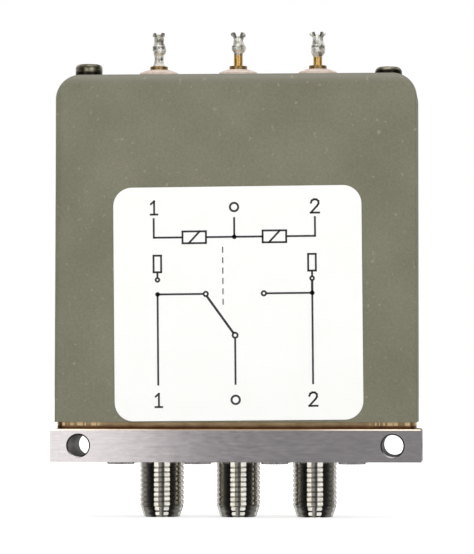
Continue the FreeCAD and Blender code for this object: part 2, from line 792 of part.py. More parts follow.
def make_frame():
    """U-shaped frame that carries both actuators, the cover posts and the board."""
    body = new_body("actuator_frame")
    floor = new_sketch(body, "XY", "frame_floor_outline", ground_top)
    centred(floor, 2 * (cover_inside_end - s.frame_end_gap), 2 * wall_outside)
    pad(body, floor, s.frame_thickness, "frame_floor")

    walls = new_sketch(body, "XY", "frame_walls_outline", floor_top)
    wall_middle = wall_inside + s.wall_thickness / 2
    wall_width = 2 * (pivot_x + s.yoke_reach + s.wall_overhang)
    for side in SIDES:
        centred(walls, wall_width, s.wall_thickness, as_size(0), side * wall_middle)
    pad(body, walls, wall_top - floor_top, "frame_walls")

    tabs = new_sketch(body, "XY", "board_tabs_outline", wall_top)
    for side in SIDES:
        centred(tabs, s.tab_width, s.wall_thickness, side * s.tab_offset, wall_middle)
    pad(body, tabs, s.board_lift + s.board_screw_rise + s.tab_margin, "board_tabs")

    windows = new_sketch(body, "XZ", "windows_outline")
    for side in SIDES:
        rectangle(
            windows,
            side * pivot_x - s.window_width / 2,
            side * pivot_x + s.window_width / 2,
            bobbin_bottom + s.window_inset,
            yoke_bottom - s.window_inset,
        )
    pocket(body, windows, 2 * wall_outside, "windows", both=True)

    pins = new_sketch(body, "XZ", "pivot_holes_outline")
    yoke_holes = new_sketch(body, "XZ", "yoke_holes_outline")
    for side in SIDES:
        circle(pins, side * pivot_x, pivot_level, s.pivot_radius)
        circle(yoke_holes, side * pivot_x, yoke_bottom + s.yoke_thickness / 2, s.yoke_screw_radius)
    pocket(body, pins, 2 * wall_outside, "pivot_holes", both=True)
    pocket(body, yoke_holes, 2 * wall_outside, "yoke_holes", both=True)

    for side, place in ((-1, "front"), (1, "rear")):
        # The sketch faces the front, so its offset counts towards -Y.
        heads = new_sketch(body, "XZ", f"{place}_head_seats_outline", -side * wall_outside)
        for column in SIDES:
            circle(
                heads, column * pivot_x, yoke_bottom + s.yoke_thickness / 2, s.yoke_head_radius
            )
        pocket(body, heads, s.yoke_head_height, f"{place}_head_seats", back=side > 0)

    holes = new_sketch(body, "XY", "floor_holes_outline", ground_top)
    for _, x, _, _ in CONTACTS:
        circle(holes, x, 0, s.spring_hole)
    for side in SIDES:
        circle(holes, side * post_x, 0, s.post_stem_radius)
    for x in SCREW_COLUMNS:
        for side in SIDES:
            circle(holes, x, side * s.screw_row, s.screw_radius)
    pocket(body, holes, s.frame_thickness, "floor_holes", back=True)

    board_holes = new_sketch(body, "XZ", "board_holes_outline", -wall_outside)
    for side in SIDES:
        circle(
            board_holes,
            side * s.tab_offset,
            board_bottom + s.board_screw_rise,
            s.board_screw_radius,
        )
    pocket(body, board_holes, s.wall_thickness, "board_holes", back=True)
    keep("actuator_frame", body)


def make_pivot_pin(side):
    body = new_body("pivot_pin")
    section = new_sketch(body, "XZ", "pivot_pin_section")
    circle(section, side * pivot_x, pivot_level, s.pivot_radius)
    pad(body, section, 2 * wall_outside, "pivot_pin_length", both=True)
    return body


def make_rocker(name, side):
    """Soft iron rocker: its two upper faces meet the pole shoes in turn."""
    body = new_body(name)
    crown = s.rocker_face / tilt_cos
    shoulder = crown - s.rocker_reach * tilt_tan
    plate = new_sketch(body, "XZ", f"{name}_outline")
    outline(
        plate,
        [
            (-s.rocker_reach, -s.rocker_belly),
            (s.rocker_reach, -s.rocker_belly),
            (s.rocker_reach, shoulder),
            (0, crown),
            (-s.rocker_reach, shoulder),
        ],
    )
    pad(body, plate, s.rocker_width, f"{name}_plate", both=True)
    for end in SIDES:
        nose = new_sketch(body, "XZ", f"{name}_nose_outline_{end + 2}")
        circle(nose, end * s.rocker_arm, 0, s.nose_radius)
        pad(body, nose, s.nose_width, f"{name}_nose_{end + 2}", both=True)
    hub = new_sketch(body, "XZ", f"{name}_hub_outline")
    circle(hub, 0, 0, s.rocker_face)
    pad(body, hub, 2 * (wall_inside - s.hub_clearance), f"{name}_hub", both=True)
    bore = new_sketch(body, "XZ", f"{name}_bore_outline")
    circle(bore, 0, 0, s.pivot_radius + s.pivot_clearance)
    pocket(body, bore, 2 * wall_inside, f"{name}_bore", both=True)
    body.Placement = FreeCAD.Placement(
        Vector(), FreeCAD.Rotation(Vector(0, 1, 0), rocker_tilt.value)
    )
    tie(body, "Placement.Rotation.Angle", rocker_tilt)
    move(body, x=side * pivot_x, z=pivot_level)
    keep(name, body)


def make_yoke(name, side):
    """Bridge over both cores, with a centre leg down to the magnet."""
    body = new_body(name)
    bridge = new_sketch(body, "XY", f"{name}_bridge_outline", yoke_bottom)
    centred(bridge, 2 * s.yoke_reach, 2 * wall_inside)
    pad(body, bridge, s.yoke_thickness, f"{name}_bridge")
    leg = new_sketch(body, "XY", f"{name}_leg_outline", magnet_top)
    centred(leg, s.magnet_width, s.magnet_depth)
    pad(body, leg, yoke_bottom - magnet_top, f"{name}_leg")
    holes = new_sketch(body, "XY", f"{name}_core_holes_outline", yoke_bottom)
    for end in SIDES:
        circle(holes, end * s.rocker_arm, 0, s.core_radius)
    pocket(body, holes, s.yoke_thickness, f"{name}_core_holes", back=True)
    for edge, place in ((-1, "front"), (1, "rear")):
        tapped = new_sketch(body, "XZ", f"{name}_{place}_tapped_outline", -edge * wall_inside)
        circle(tapped, 0, yoke_bottom + s.yoke_thickness / 2, s.yoke_screw_radius)
        pocket(body, tapped, s.yoke_screw_length, f"{name}_{place}_tapped", back=edge > 0)
    move(body, x=side * pivot_x)
    keep(name, body)


def make_magnet(name, side):
    body = new_body(name)
    block = new_sketch(body, "XY", f"{name}_outline", magnet_bottom)
    centred(block, s.magnet_width, s.magnet_depth, side * pivot_x, as_size(0))
    pad(body, block, s.magnet_height, f"{name}_block")
    keep(name, body)


def make_core(x):
    body = revolve(
        "coil_core",
        [
            (0, pole_level),
            (s.shoe_radius, pole_level),
            (s.shoe_radius, pole_level + s.shoe_height),
            (s.core_radius, pole_level + s.shoe_height),
            (s.core_radius, yoke_top),
            (0, yoke_top),
        ],
    )
    move(body, x=x)
    return body


def make_bobbin(name, x):
    tube = s.core_radius + s.bobbin_clearance
    body = revolve(
        name,
        [
            (tube, bobbin_bottom),
            (s.bobbin_radius, bobbin_bottom),
            (s.bobbin_radius, bobbin_bottom + s.bobbin_flange),
            (s.bobbin_tube, bobbin_bottom + s.bobbin_flange),
            (s.bobbin_tube, yoke_bottom - s.bobbin_flange),
            (s.bobbin_radius, yoke_bottom - s.bobbin_flange),
            (s.bobbin_radius, yoke_bottom),
            (tube, yoke_bottom),
        ],
    )
    move(body, x=x)
    keep(name, body)


def make_winding(name, x):
    """Enamelled wire, as one ring between the bobbin's flanges."""
    low = bobbin_bottom + s.bobbin_flange
    high = yoke_bottom - s.bobbin_flange
    body = revolve(
        name,
        [(s.bobbin_tube, low), (s.winding_radius, low), (s.winding_radius, high), (s.bobbin_tube, high)],
    )
    move(body, x=x)
    keep(name, body)


def make_screw_along_y(name, x, z, face, inward, head_radius, head_height, shank, length):
    """A screw whose head's outer face lies at y = face; inward is +1 or -1 along Y."""
    body = new_body(name)
    head = new_sketch(body, "XZ", f"{name}_head_outline", -face)
    circle(head, x, z, head_radius)
    pad(body, head, head_height, f"{name}_head", back=inward > 0)
    stem = new_sketch(body, "XZ", f"{name}_shank_outline", -face)
    circle(stem, x, z, shank)
    pad(body, stem, head_height + length, f"{name}_shank", back=inward > 0)
    return body


def make_yoke_screw(side, edge):
    depth = s.wall_thickness - s.yoke_head_height + s.yoke_screw_length
    return make_screw_along_y(
        "yoke_screw",
        side * pivot_x,
        yoke_bottom + s.yoke_thickness / 2,
        edge * wall_outside,
        -edge,
        s.yoke_head_radius,
        s.yoke_head_height,
        s.yoke_screw_radius,
        depth,
    )


# ------------------------------------------------------------------ driver board

def make_board():
    body = new_body("driver_board")
    sheet_outline = new_sketch(body, "XZ", "board_outline", -board_back)
    rectangle(
        sheet_outline, -s.board_width / 2, s.board_width / 2, board_bottom, board_top
    )
    for side in SIDES:
        circle(
            sheet_outline,
            side * s.tab_offset,
            board_bottom + s.board_screw_rise,
            s.board_screw_radius,
        )
    pad(body, sheet_outline, s.board_thickness, "board_laminate")
    keep("driver_board", body)


def make_spacer(side):
    body = new_body("board_spacer")
    ring = new_sketch(body, "XZ", "spacer_outline", -wall_inside)
    level = board_bottom + s.board_screw_rise
    circle(ring, side * s.tab_offset, level, s.spacer_radius)
    circle(ring, side * s.tab_offset, level, s.board_screw_radius)
    pad(body, ring, wall_inside - board_back, "spacer_length")
    return body


def make_board_screw(side):
    return make_screw_along_y(
        "board_screw",
        side * s.tab_offset,
        board_bottom + s.board_screw_rise,
        s.board_front - s.board_head_height,
        1,
        s.board_head_radius,
        s.board_head_height,
        s.board_screw_radius,
        wall_outside - s.board_front,
    )


def make_block(name, x, z, width, height, thickness):
    """A surface-mounted part on the board's front."""
    body = new_body(name)
    face = new_sketch(body, "XZ", f"{name}_outline", -s.board_front)
    centred(face, width, height, as_size(x), z)
    pad(body, face, thickness, f"{name}_block")
    return body


def make_logic_chip():
    level = board_bottom + s.board_height / 2
    body = make_block(
        "logic_chip", 0, level, s.chip_width, s.chip_height, s.chip_thickness
    )
    leads = new_sketch(body, "XZ", "chip_leads_outline", -s.board_front)
    reach = s.chip_height + 2 * s.chip_lead_reach
    count = int(s.chip_leads.value)
    for number in range(count):
        x = (as_size(number) - (s.chip_leads - 1) / 2) * s.chip_lead_pitch
        centred(leads, s.chip_lead_width, reach, x, level)
    pad(body, leads, s.chip_lead_thickness, "chip_lead_frame")
    keep("logic_chip", body)


def make_diode(x):
    body = new_body("diode")
    end = new_sketch(body, "YZ", "diode_section", x - s.diode_length / 2)
    circle(end, s.board_front - s.diode_radius, board_bottom + s.diode_rise, s.diode_radius)
    pad(body, end, s.diode_length, "diode_body")
    return body


def make_lead(x, start_y, start_z, wire, board_z, name):
    """A bare wire that leaves upright, crosses to the board and lies along its face."""
    rise = 1 if board_z.value > start_z.value else -1
    end_y = s.board_front.value - wire.value
    landing = board_z.value
    turn = landing - rise * abs(end_y - start_y.value)
    points = [
        Vector(x.value, start_y.value, start_z.value),
        Vector(x.value, start_y.value, turn),
        Vector(x.value, end_y, landing),
        Vector(x.value, end_y, landing + rise * s.lead_overlap.value),
    ]
    path = rounded_path(points, s.lead_bend.value)
    section = Part.Wire([Part.makeCircle(wire.value, points[0], Vector(0, 0, 1))])
    lead = doc.addObject("Part::Feature", name)
    lead.Shape = path.makePipeShell([section], True, True)
    return lead


def rounded_path(points, radius):
    """Straight runs through the points, joined by arcs that touch both runs."""
    edges = []
    start = points[0]
    for before, corner, after in zip(points, points[1:], points[2:]):
        back = (before - corner).normalize()
        ahead = (after - corner).normalize()
        half_angle = back.getAngle(ahead) / 2
        leg = radius / math.tan(half_angle)
        bisector = (back + ahead).normalize()
        centre = corner + bisector * (radius / math.sin(half_angle))
        first = corner + back * leg
        last = corner + ahead * leg
        edges.append(Part.makeLine(start, first))
        edges.append(Part.Arc(first, centre - bisector * radius, last).toShape())
        start = last
    edges.append(Part.makeLine(start, points[-1]))
    return Part.Wire(edges)


# ------------------------------------------------------------------ cover and terminals

def round_cover_edges(body):
    """A wide round along the roof's edges that narrows round the corners to the upright ones."""
    wide = s.cover_top_edge.value
    narrow = s.cover_edge.value
    edges = []
    for number, edge in enumerate(body.Shape.Edges, start=1):
        on_face = spread(edge, "Y") < 1e-6 and abs(middle(edge, "Y")) > cover_inside.value + 1e-6
        if not on_face or middle(edge, "Z") < ground_top.value + 1e-6:
            continue
        ends = [edge.valueAt(edge.FirstParameter), edge.valueAt(edge.LastParameter)]
        radii = [wide if end.z > cover_top.value - 1e-6 else narrow for end in ends]
        edges.append((number, *radii))
    rounded = doc.addObject("Part::Fillet", "rounded_cover")
    rounded.Base = body
    rounded.Edges = edges
    doc.recompute()
    return rounded


def make_cover():
    body = new_body("cover_shell")
    front = new_sketch(body, "XZ", "cover_outline")
    rectangle(front, -cover_width / 2, cover_width / 2, ground_top, cover_top)
    pad(body, front, cover_depth, "cover_blank", both=True)
    hollow = new_sketch(body, "XZ", "hollow_outline")
    rectangle(hollow, -cover_inside_end, cover_inside_end, ground_top, roof)
    pocket(body, hollow, 2 * cover_inside, "hollow", both=True)
    for name, radius, level in (
        ("inner_corners", s.cover_inner_corner, roof),
        ("outer_corners", s.cover_corner, cover_top),
    ):
        round_edges(
            body,
            "Fillet",
            radius,
            name,
            lambda edge: spread(edge, "X") < 1e-6 and at_level(edge, level),
        )
    holes = new_sketch(body, "XY", "roof_holes_outline", roof)
    for _, x in TERMINALS:
        circle(holes, x, 0, s.bushing_stem)
    for side in SIDES:
        circle(holes, side * post_x, 0, s.cover_screw_radius + s.cover_screw_clearance)
    pocket(body, holes, s.cover_wall, "roof_holes", back=True)
    keep("cover", round_cover_edges(body))


def make_cover_post(side):
    body = revolve(
        "cover_post",
        [
            (0, ground_top),
            (s.post_stem_radius, ground_top),
            (s.post_stem_radius, floor_top),
            (s.post_radius, floor_top),
            (s.post_radius, roof - s.post_bevel),
            (s.post_radius - s.post_bevel, roof),
            (s.cover_screw_radius, roof),
            (s.cover_screw_radius, roof - s.cover_screw_length),
            (0, roof - s.cover_screw_length),
        ],
    )
    move(body, x=side * post_x)
    return body


def make_cover_screw(side, head_height, head_round):
    head_top = cover_top + head_height
    body = revolve(
        "cover_screw",
        [
            (0, cover_top - s.cover_screw_length),
            (s.cover_screw_radius, cover_top - s.cover_screw_length),
            (s.cover_screw_radius, cover_top),
            (s.cover_head_radius, cover_top),
            (s.cover_head_radius, head_top),
            (0, head_top),
        ],
    )
    round_edges(
        body, "Fillet", head_round, "head_round", lambda edge: at_level(edge, head_top)
    )
    for number, (width, depth) in enumerate(
        [(s.recess_length, s.recess_width), (s.recess_width, s.recess_length)], start=1
    ):
        recess = new_sketch(body, "XY", f"recess_outline_{number}", head_top)
        centred(recess, width, depth)
        pocket(body, recess, s.recess_depth, f"recess_{number}")
    move(body, x=side * post_x)
    return body


def make_label():
    body = new_body("label")
    face = new_sketch(body, "XZ", "label_outline")
    centred(face, s.label_width, s.label_height)
    pad(body, face, s.label_thickness, "label_film")
    round_edges(
        body,
        "Fillet",
        s.label_corner,
        "label_corners",
        lambda edge: spread(edge, "X") < 1e-6 and spread(edge, "Z") < 1e-6,
    )
    # Turned a little anticlockwise as seen from the front.
    body.Placement = FreeCAD.Placement(
        Vector(), FreeCAD.Rotation(Vector(0, -1, 0), s.label_tilt.value)
    )
    tie(body, "Placement.Rotation.Angle", s.label_tilt)
    move(
        body,
        x=s.label_shift,
        y=-cover_depth / 2,
        z=ground_top + s.label_rise + s.label_height / 2,
    )
    keep("label", body)


def make_bushing(x):
    """Insulator with a low domed flange, held under the roof by its ring."""
    ring_bottom = roof - s.bushing_ring_height
    rim = cover_top + s.bushing_rim
    body = revolve(
        "terminal_bushing",
        [
            (s.terminal_radius, ring_bottom),
            (s.bushing_ring_radius, ring_bottom),
            (s.bushing_ring_radius, roof),
            (s.bushing_stem, roof),
            (s.bushing_stem, cover_top),
            (s.bushing_radius, cover_top),
            (s.bushing_radius, rim),
            (s.bushing_shoulder, cover_top + s.bushing_height),
            (s.terminal_radius, cover_top + s.bushing_height),
        ],
    )
    round_edges(
        body, "Fillet", s.bushing_round, "bushing_rim", lambda edge: at_level(edge, rim)
    )
    move(body, x=x)
    return body


def make_terminal(name, x):
    """Turned solder terminal: collar, turret and two splayed prongs."""
    collar_bottom = cover_top + s.bushing_height
    collar_top = collar_bottom + s.collar_height
    tip = cover_top + s.terminal_height
    parting = tip - s.fork_depth
    body = revolve(
        name,
        [
            (0, roof - s.terminal_tail),
            (s.terminal_radius, roof - s.terminal_tail),
            (s.terminal_radius, collar_bottom),
            (s.collar_radius, collar_bottom),
            (s.collar_radius, collar_top),
            (s.terminal_radius, collar_top),
            (s.terminal_radius, cover_top + s.turret_low),
            (s.turret_radius, cover_top + s.turret_low + s.turret_slope),
            (s.turret_radius, cover_top + s.turret_high - s.turret_slope),
            (s.terminal_radius, cover_top + s.turret_high),
            (s.terminal_radius, parting),
            (s.fork_spread, tip),
            (0, tip),
        ],
    )
    notch = new_sketch(body, "XZ", f"{name}_notch_outline")
    half_mouth = s.fork_spread - s.prong_thickness
    outline(
        notch,
        [(-s.fork_root, parting), (s.fork_root, parting), (half_mouth, tip), (-half_mouth, tip)],
    )
    pocket(body, notch, 2 * s.fork_spread, f"{name}_notch", both=True)
    move(body, x=x)
    keep(name, body)


# ------------------------------------------------------------------ the whole switch

def build_rf_body():
    make_base_plate()
    make_ground_plate()
    for name, x in PORTS:
        make_barrel(f"{name}_barrel", x)
        make_contact(f"{name}_contact", x)
    group("port_insulators", [make_insulator("port_insulator", x) for _, x in PORTS])
    make_load("load_1_chip", -1)
    make_load("load_2_chip", 1)
    group(
        "body_screws", [make_body_screw(x, side) for x in SCREW_COLUMNS for side in SIDES]
    )


def build_contacts():
    for name, x, length, closed in CONTACTS:
        lift = Size(0) if closed else s.contact_travel
        make_blade(f"{name}_blade", x, length, lift)
        make_push_rod(f"{name}_push_rod", x, lift)
        make_return_spring(f"{name}_return_spring", x, lift)


def build_actuators():
    make_frame()
    group("pivot_pins", [make_pivot_pin(side) for side in SIDES])
    for number, side in enumerate(SIDES, start=1):
        make_rocker(f"rocker_{number}", side)
        make_yoke(f"yoke_{number}", side)
        make_magnet(f"magnet_{number}", side)
    group("coil_cores", [make_core(x) for _, x, _, _ in CONTACTS])
    for name, x, _, _ in CONTACTS:
        make_bobbin(f"{name}_bobbin", x)
        make_winding(f"{name}_winding", x)
    group("yoke_screws", [make_yoke_screw(side, edge) for side in SIDES for edge in SIDES])


def build_board():
    make_board()
    make_logic_chip()
    group("board_spacers", [make_spacer(side) for side in SIDES])
    group("board_screws", [make_board_screw(side) for side in SIDES])
    column = s.tab_offset - s.board_head_radius - s.transistor_width
    rows = [board_bottom + s.transistor_low_rise, board_bottom + s.transistor_high_rise]
    group(
        "driver_transistors",
        [
            make_block(
                "transistor",
                side * column,
                row,
                s.transistor_width,
                s.transistor_height,
                s.transistor_thickness,
            )
            for side in SIDES
            for row in rows
        ],
    )
    group("suppression_diodes", [make_diode(step * s.diode_pitch) for step in DIODE_STEPS])
    resistors = [
        make_block(
            "resistor",
            (as_size(number) - (s.resistors - 1) / 2) * s.resistor_pitch,
            board_top - s.resistor_height,
            s.resistor_width,
            s.resistor_height,
            s.resistor_thickness,
        )
        for number in range(int(s.resistors.value))
    ]
    capacitors = [
        make_block(
            "capacitor",
            side * s.tab_offset,
            board_bottom + s.capacitor_rise,
            s.capacitor_width,
            s.capacitor_height,
            s.capacitor_thickness,
        )
        for side in SIDES
    ]
    group("board_passives", resistors + capacitors)


def build_leads():
    coil_leads = []
    for _, x, _, _ in CONTACTS:
        # Away from the yoke: towards the middle at the inner coils, outwards at the outer ones.
        outer = abs(x.value) > pivot_x.value
        away = math.copysign(1, x.value) * (1 if outer else -1)
        for step in (0, 1):
            offset = s.bobbin_radius - s.coil_lead_inset + step * s.coil_lead_pitch
            coil_leads.append(
                make_lead(
                    x + away * offset,
                    Size(0),
                    yoke_bottom,
                    s.coil_lead_radius,
                    board_bottom + s.lead_bend,
                    "coil_lead",
                )
            )
    group("coil_leads", coil_leads)
    group(
        "supply_leads",
        [
            make_lead(
                x,
                Size(0),
                roof - s.terminal_tail,
                s.supply_lead_radius,
                board_top - s.lead_bend,
                "supply_lead",
            )
            for _, x in TERMINALS
        ],
    )


def build_cover():
    make_cover()
    make_label()
    group("cover_posts", [make_cover_post(side) for side in SIDES])
    group("cover_screws", [make_cover_screw(*head) for head in SCREW_HEADS])
    group("terminal_bushings", [make_bushing(x) for _, x in TERMINALS])
    for name, x in TERMINALS:
        make_terminal(name, x)


def check_and_write():
    """Every object must be up to date and every piece sound before a file is written."""
    doc.recompute()
    for thing in doc.Objects:
        if "Invalid" in thing.State or "Error" in thing.State:
            raise RuntimeError(f"{thing.Label} failed: {thing.State}")
    for name, thing in nodes.items():
        if thing.Shape.isNull() or not thing.Shape.isValid():
            raise RuntimeError(f"{name} has no valid shape")
    os.makedirs("parts", exist_ok=True)
    for name, thing in nodes.items():
        thing.Shape.exportStep(f"parts/{name}.step")


build_rf_body()
build_contacts()
build_actuators()
build_board()
build_leads()
build_cover()
check_and_write()
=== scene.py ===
import math

import bmesh
import bpy
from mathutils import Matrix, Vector, noise


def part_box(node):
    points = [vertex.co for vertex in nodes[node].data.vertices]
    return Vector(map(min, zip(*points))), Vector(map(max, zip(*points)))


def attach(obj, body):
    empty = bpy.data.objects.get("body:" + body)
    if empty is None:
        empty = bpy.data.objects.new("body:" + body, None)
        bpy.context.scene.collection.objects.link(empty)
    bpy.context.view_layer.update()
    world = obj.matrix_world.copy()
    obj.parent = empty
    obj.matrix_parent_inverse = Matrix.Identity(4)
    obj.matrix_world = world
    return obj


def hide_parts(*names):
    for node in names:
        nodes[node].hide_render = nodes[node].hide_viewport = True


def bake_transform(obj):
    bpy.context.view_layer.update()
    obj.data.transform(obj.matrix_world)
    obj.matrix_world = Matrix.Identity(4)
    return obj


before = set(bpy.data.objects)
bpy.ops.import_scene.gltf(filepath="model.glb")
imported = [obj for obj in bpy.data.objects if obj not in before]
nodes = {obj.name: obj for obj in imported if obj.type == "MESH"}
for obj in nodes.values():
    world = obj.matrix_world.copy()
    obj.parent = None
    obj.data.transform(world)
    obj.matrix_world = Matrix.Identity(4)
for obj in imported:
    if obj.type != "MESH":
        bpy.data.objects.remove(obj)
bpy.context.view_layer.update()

# Looks of a latching coaxial changeover switch. Lengths are metres in the frame's own
# axes: +Z up, +X across the ports, the labelled front faces -Y. Sizes given in
# millimetres are multiplied by MM.

MM = 0.001
IMAGE_HEIGHT = 554
scene = bpy.context.scene

# places and sizes of the CAD model that the looks follow, in millimetres
HOLE_X = 22.675
HOLE_Z = 10.48
HOLE_RADIUS = 1.55
THREAD_PITCH = 0.7056
MOUTH_TOP = 1.75
PORT_X = 11.18
TERMINAL_X = 11.66
PLATE_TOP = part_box("base_plate")[1].z / MM
COVER_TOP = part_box("cover")[1].z / MM
COLLAR_TOP = COVER_TOP + 1.55


# ------------------------------------------------------------------ shader nodes


def linear(red, green, blue):
    """A colour given in display values, 0 to 255, as the linear colour that shaders take."""

    def one(value):
        value /= 255
        return value / 12.92 if value <= 0.04045 else ((value + 0.055) / 1.055) ** 2.4

    return (one(red), one(green), one(blue), 1.0)


def grey(level):
    return (level, level, level, 1)


class Graph:
    """The shader nodes of one material or of the world."""

    def __init__(self, tree):
        self.tree = tree
        tree.nodes.clear()

    def node(self, kind):
        return self.tree.nodes.new(kind)

    def link(self, source, target):
        self.tree.links.new(source, target)

    def feed(self, socket, source):
        """Sets a socket to a plain number or colour, or links it to another socket."""
        if isinstance(source, (int, float, tuple)):
            socket.default_value = source
        else:
            self.link(source, socket)

    def part(self, vector, axis):
        """One coordinate of a vector."""
        parts = self.node("ShaderNodeSeparateXYZ")
        self.link(vector, parts.inputs["Vector"])
        return parts.outputs[axis]

    def math(self, operation, first, second=0):
        work = self.node("ShaderNodeMath")
        work.operation = operation
        self.feed(work.inputs[0], first)
        self.feed(work.inputs[1], second)
        return work.outputs[0]

    def level(self, source, low, high, start=0.3, end=0.7):
        """A number from low to high as the source goes from start to end."""
        span = self.node("ShaderNodeMapRange")
        for socket, value in (
            ("From Min", start), ("From Max", end), ("To Min", low), ("To Max", high)
        ):
            span.inputs[socket].default_value = value
        self.link(source, span.inputs["Value"])
        return span.outputs["Result"]

    def shades(self, source, stops):
        """Colours along a value from 0 to 1: a list of (place, colour)."""
        ramp = self.node("ShaderNodeValToRGB")
        elements = ramp.color_ramp.elements
        elements[0].position, elements[0].color = stops[0]
        elements[1].position, elements[1].color = stops[-1]
        for place, colour in stops[1:-1]:
            elements.new(place).color = colour
        self.link(source, ramp.inputs["Fac"])
        return ramp.outputs["Color"]

    def mixed(self, share, first, second):
        """One colour shading into another as the share goes from 0 to 1."""
        mix = self.node("ShaderNodeMix")
        mix.data_type = "RGBA"
        self.link(share, mix.inputs[0])
        colours = [socket for socket in mix.inputs if socket.type == "RGBA"]
        self.feed(colours[0], first)
        self.feed(colours[1], second)
        return next(socket for socket in mix.outputs if socket.type == "RGBA")


# ------------------------------------------------------------------ materials


class Finish(Graph):
    """A material drawn from nodes. Its patterns lie in the piece's own coordinates."""

    def __init__(self, name, constants):
        self.material = bpy.data.materials.new(name)
        self.material.use_nodes = True
        super().__init__(self.material.node_tree)
        self.shader = self.node("ShaderNodeBsdfPrincipled")
        output = self.node("ShaderNodeOutputMaterial")
        self.link(self.shader.outputs["BSDF"], output.inputs["Surface"])
        self.place = self.node("ShaderNodeTexCoord").outputs["Object"]
        self.normal = None
        for socket, value in constants.items():
            self.shader.inputs[socket].default_value = value

    def grain(self, size, detail=2.0, stretch=(1, 1, 1), roughness=0.5):
        """Noise from 0 to 1 in patches of about that many millimetres, longer where stretched."""
        mapping = self.node("ShaderNodeMapping")
        mapping.inputs["Scale"].default_value = [1 / (size * MM * along) for along in stretch]
        self.link(self.place, mapping.inputs["Vector"])
        texture = self.node("ShaderNodeTexNoise")
        texture.inputs["Scale"].default_value = 1.0
        texture.inputs["Detail"].default_value = detail
        texture.inputs["Roughness"].default_value = roughness
        self.link(mapping.outputs["Vector"], texture.inputs["Vector"])
        return texture.outputs[0]

    def bands(self, size, axis, distortion=0.0):
        """Even waves from 0 to 1 along one axis, that many millimetres apart."""
        texture = self.node("ShaderNodeTexWave")
        texture.bands_direction = axis
        # a wave texture of scale 1 repeats every tau / 20
        texture.inputs["Scale"].default_value = math.tau / (20 * size * MM)
        texture.inputs["Distortion"].default_value = distortion
        self.link(self.place, texture.inputs["Vector"])
        return texture.outputs[1]

    def along(self, axis, start, end):
        """0 before start and 1 after end along an axis, in millimetres."""
        return self.level(self.part(self.place, axis), 0, 1, start * MM, end * MM)

    def towards_ends(self, start, end):
        """0 up to start and 1 from end on, in millimetres along X both ways from the middle."""
        outward = self.math("ABSOLUTE", self.part(self.place, "X"))
        return self.level(outward, 0, 1, start * MM, end * MM)

    def in_holes(self):
        """1 on the walls of the mounting holes and 0 on the plate's faces."""
        across = self.math("ABSOLUTE", self.part(self.place, "X"))
        across = self.math("SUBTRACT", across, HOLE_X * MM)
        up = self.math("SUBTRACT", self.part(self.place, "Z"), HOLE_Z * MM)
        squares = self.math(
            "ADD", self.math("POWER", across, 2), self.math("POWER", up, 2)
        )
        reach = self.math("POWER", squares, 0.5)
        return self.level(reach, 1, 0, (HOLE_RADIUS + 0.01) * MM, (HOLE_RADIUS + 0.03) * MM)

    def both(self, first, share, second):
        """Two patterns together, the first with that share and the second with the rest."""
        return self.math(
            "ADD", self.math("MULTIPLY", first, share), self.math("MULTIPLY", second, 1 - share)
        )

    def between(self, source, dark, bright, start=0.3, end=0.7):
        """From the dark colour to the bright one as the source goes from start to end."""
        return self.shades(source, [(start, dark), (end, bright)])

    def bump(self, source, depth):
        """Relief of that depth in millimetres, added to what is there."""
        relief = self.node("ShaderNodeBump")
        relief.inputs["Strength"].default_value = 1.0
        relief.inputs["Distance"].default_value = depth * MM
        self.link(source, relief.inputs["Height"])
        if self.normal is not None:
            self.link(self.normal, relief.inputs["Normal"])
        self.normal = relief.outputs["Normal"]

    def done(self, colour, roughness):
        self.link(colour, self.shader.inputs["Base Color"])
        self.link(roughness, self.shader.inputs["Roughness"])
        if self.normal is not None:
            self.link(self.normal, self.shader.inputs["Normal"])
        return self.material


def mottled(name, dark, bright, roughness, patch, fine, relief, constants):
    """Two shades in soft patches, with uneven gloss and a fine relief."""
    finish = Finish(name, constants)
    patches = finish.grain(patch, 4)
    grit = finish.grain(fine, 2)
    finish.bump(grit, relief)
    return finish.done(finish.between(patches, dark, bright), finish.level(grit, *roughness))


def metal(name, dark, bright, roughness, patch=0.5, relief=0.004):
    return mottled(name, dark, bright, roughness, patch, patch / 6, relief, {"Metallic": 1.0})


def moulded(name, dark, bright, roughness, **constants):
    """Moulded or cast material that isn't metal."""
    return mottled(name, dark, bright, roughness, 0.8, 0.1, 0.006, constants)


# half the length along which the plate's shading leans, and its rise over the whole length
LEAN_REACH = 27
LEAN_RISE = 4.2


def machined_aluminium():
    """Milled along X: long fine streaks and small mottling; painted shade in the holes, painted
    bevel highlight.

    The long relief leans the shading by about 4.5 degrees about Z, so that the plate's
    front has its bright left end from the softbox that also draws the threads' bands.
    """
    finish = Finish("machined_aluminium", {"Metallic": 1.0, "Anisotropic": 0.95})
    tangent = finish.node("ShaderNodeTangent")
    tangent.direction_type = "RADIAL"
    tangent.axis = "X"
    finish.link(tangent.outputs["Tangent"], finish.shader.inputs["Tangent"])
    streaks = finish.grain(0.06, 3, (120, 1, 1), 0.6)
    mottle = finish.grain(0.5, 4, (3, 1, 1), 0.6)
    pattern = finish.both(streaks, 0.45, mottle)
    finish.bump(streaks, 0.001)
    finish.bump(mottle, 0.002)
    finish.bump(finish.along("X", -LEAN_REACH, LEAN_REACH), LEAN_RISE)
    colour = finish.between(pattern, linear(174, 169, 171), linear(198, 193, 195))
    # painted shade: the walls of the mounting holes are coloured dark brown grey for the shade
    # inside them
    colour = finish.mixed(finish.in_holes(), colour, linear(92, 80, 71))
    # painted highlight: the band just under the plate's top edge is coloured as the bevel's
    # reflection, bright towards the ends and dark brown in the middle
    line = finish.mixed(
        finish.towards_ends(9, 22), linear(150, 128, 104), linear(250, 236, 216)
    )
    edge = finish.along("Z", PLATE_TOP - 0.24, PLATE_TOP - 0.14)
    colour = finish.mixed(edge, colour, line)
    return finish.done(colour, finish.level(pattern, 0.16, 0.22))


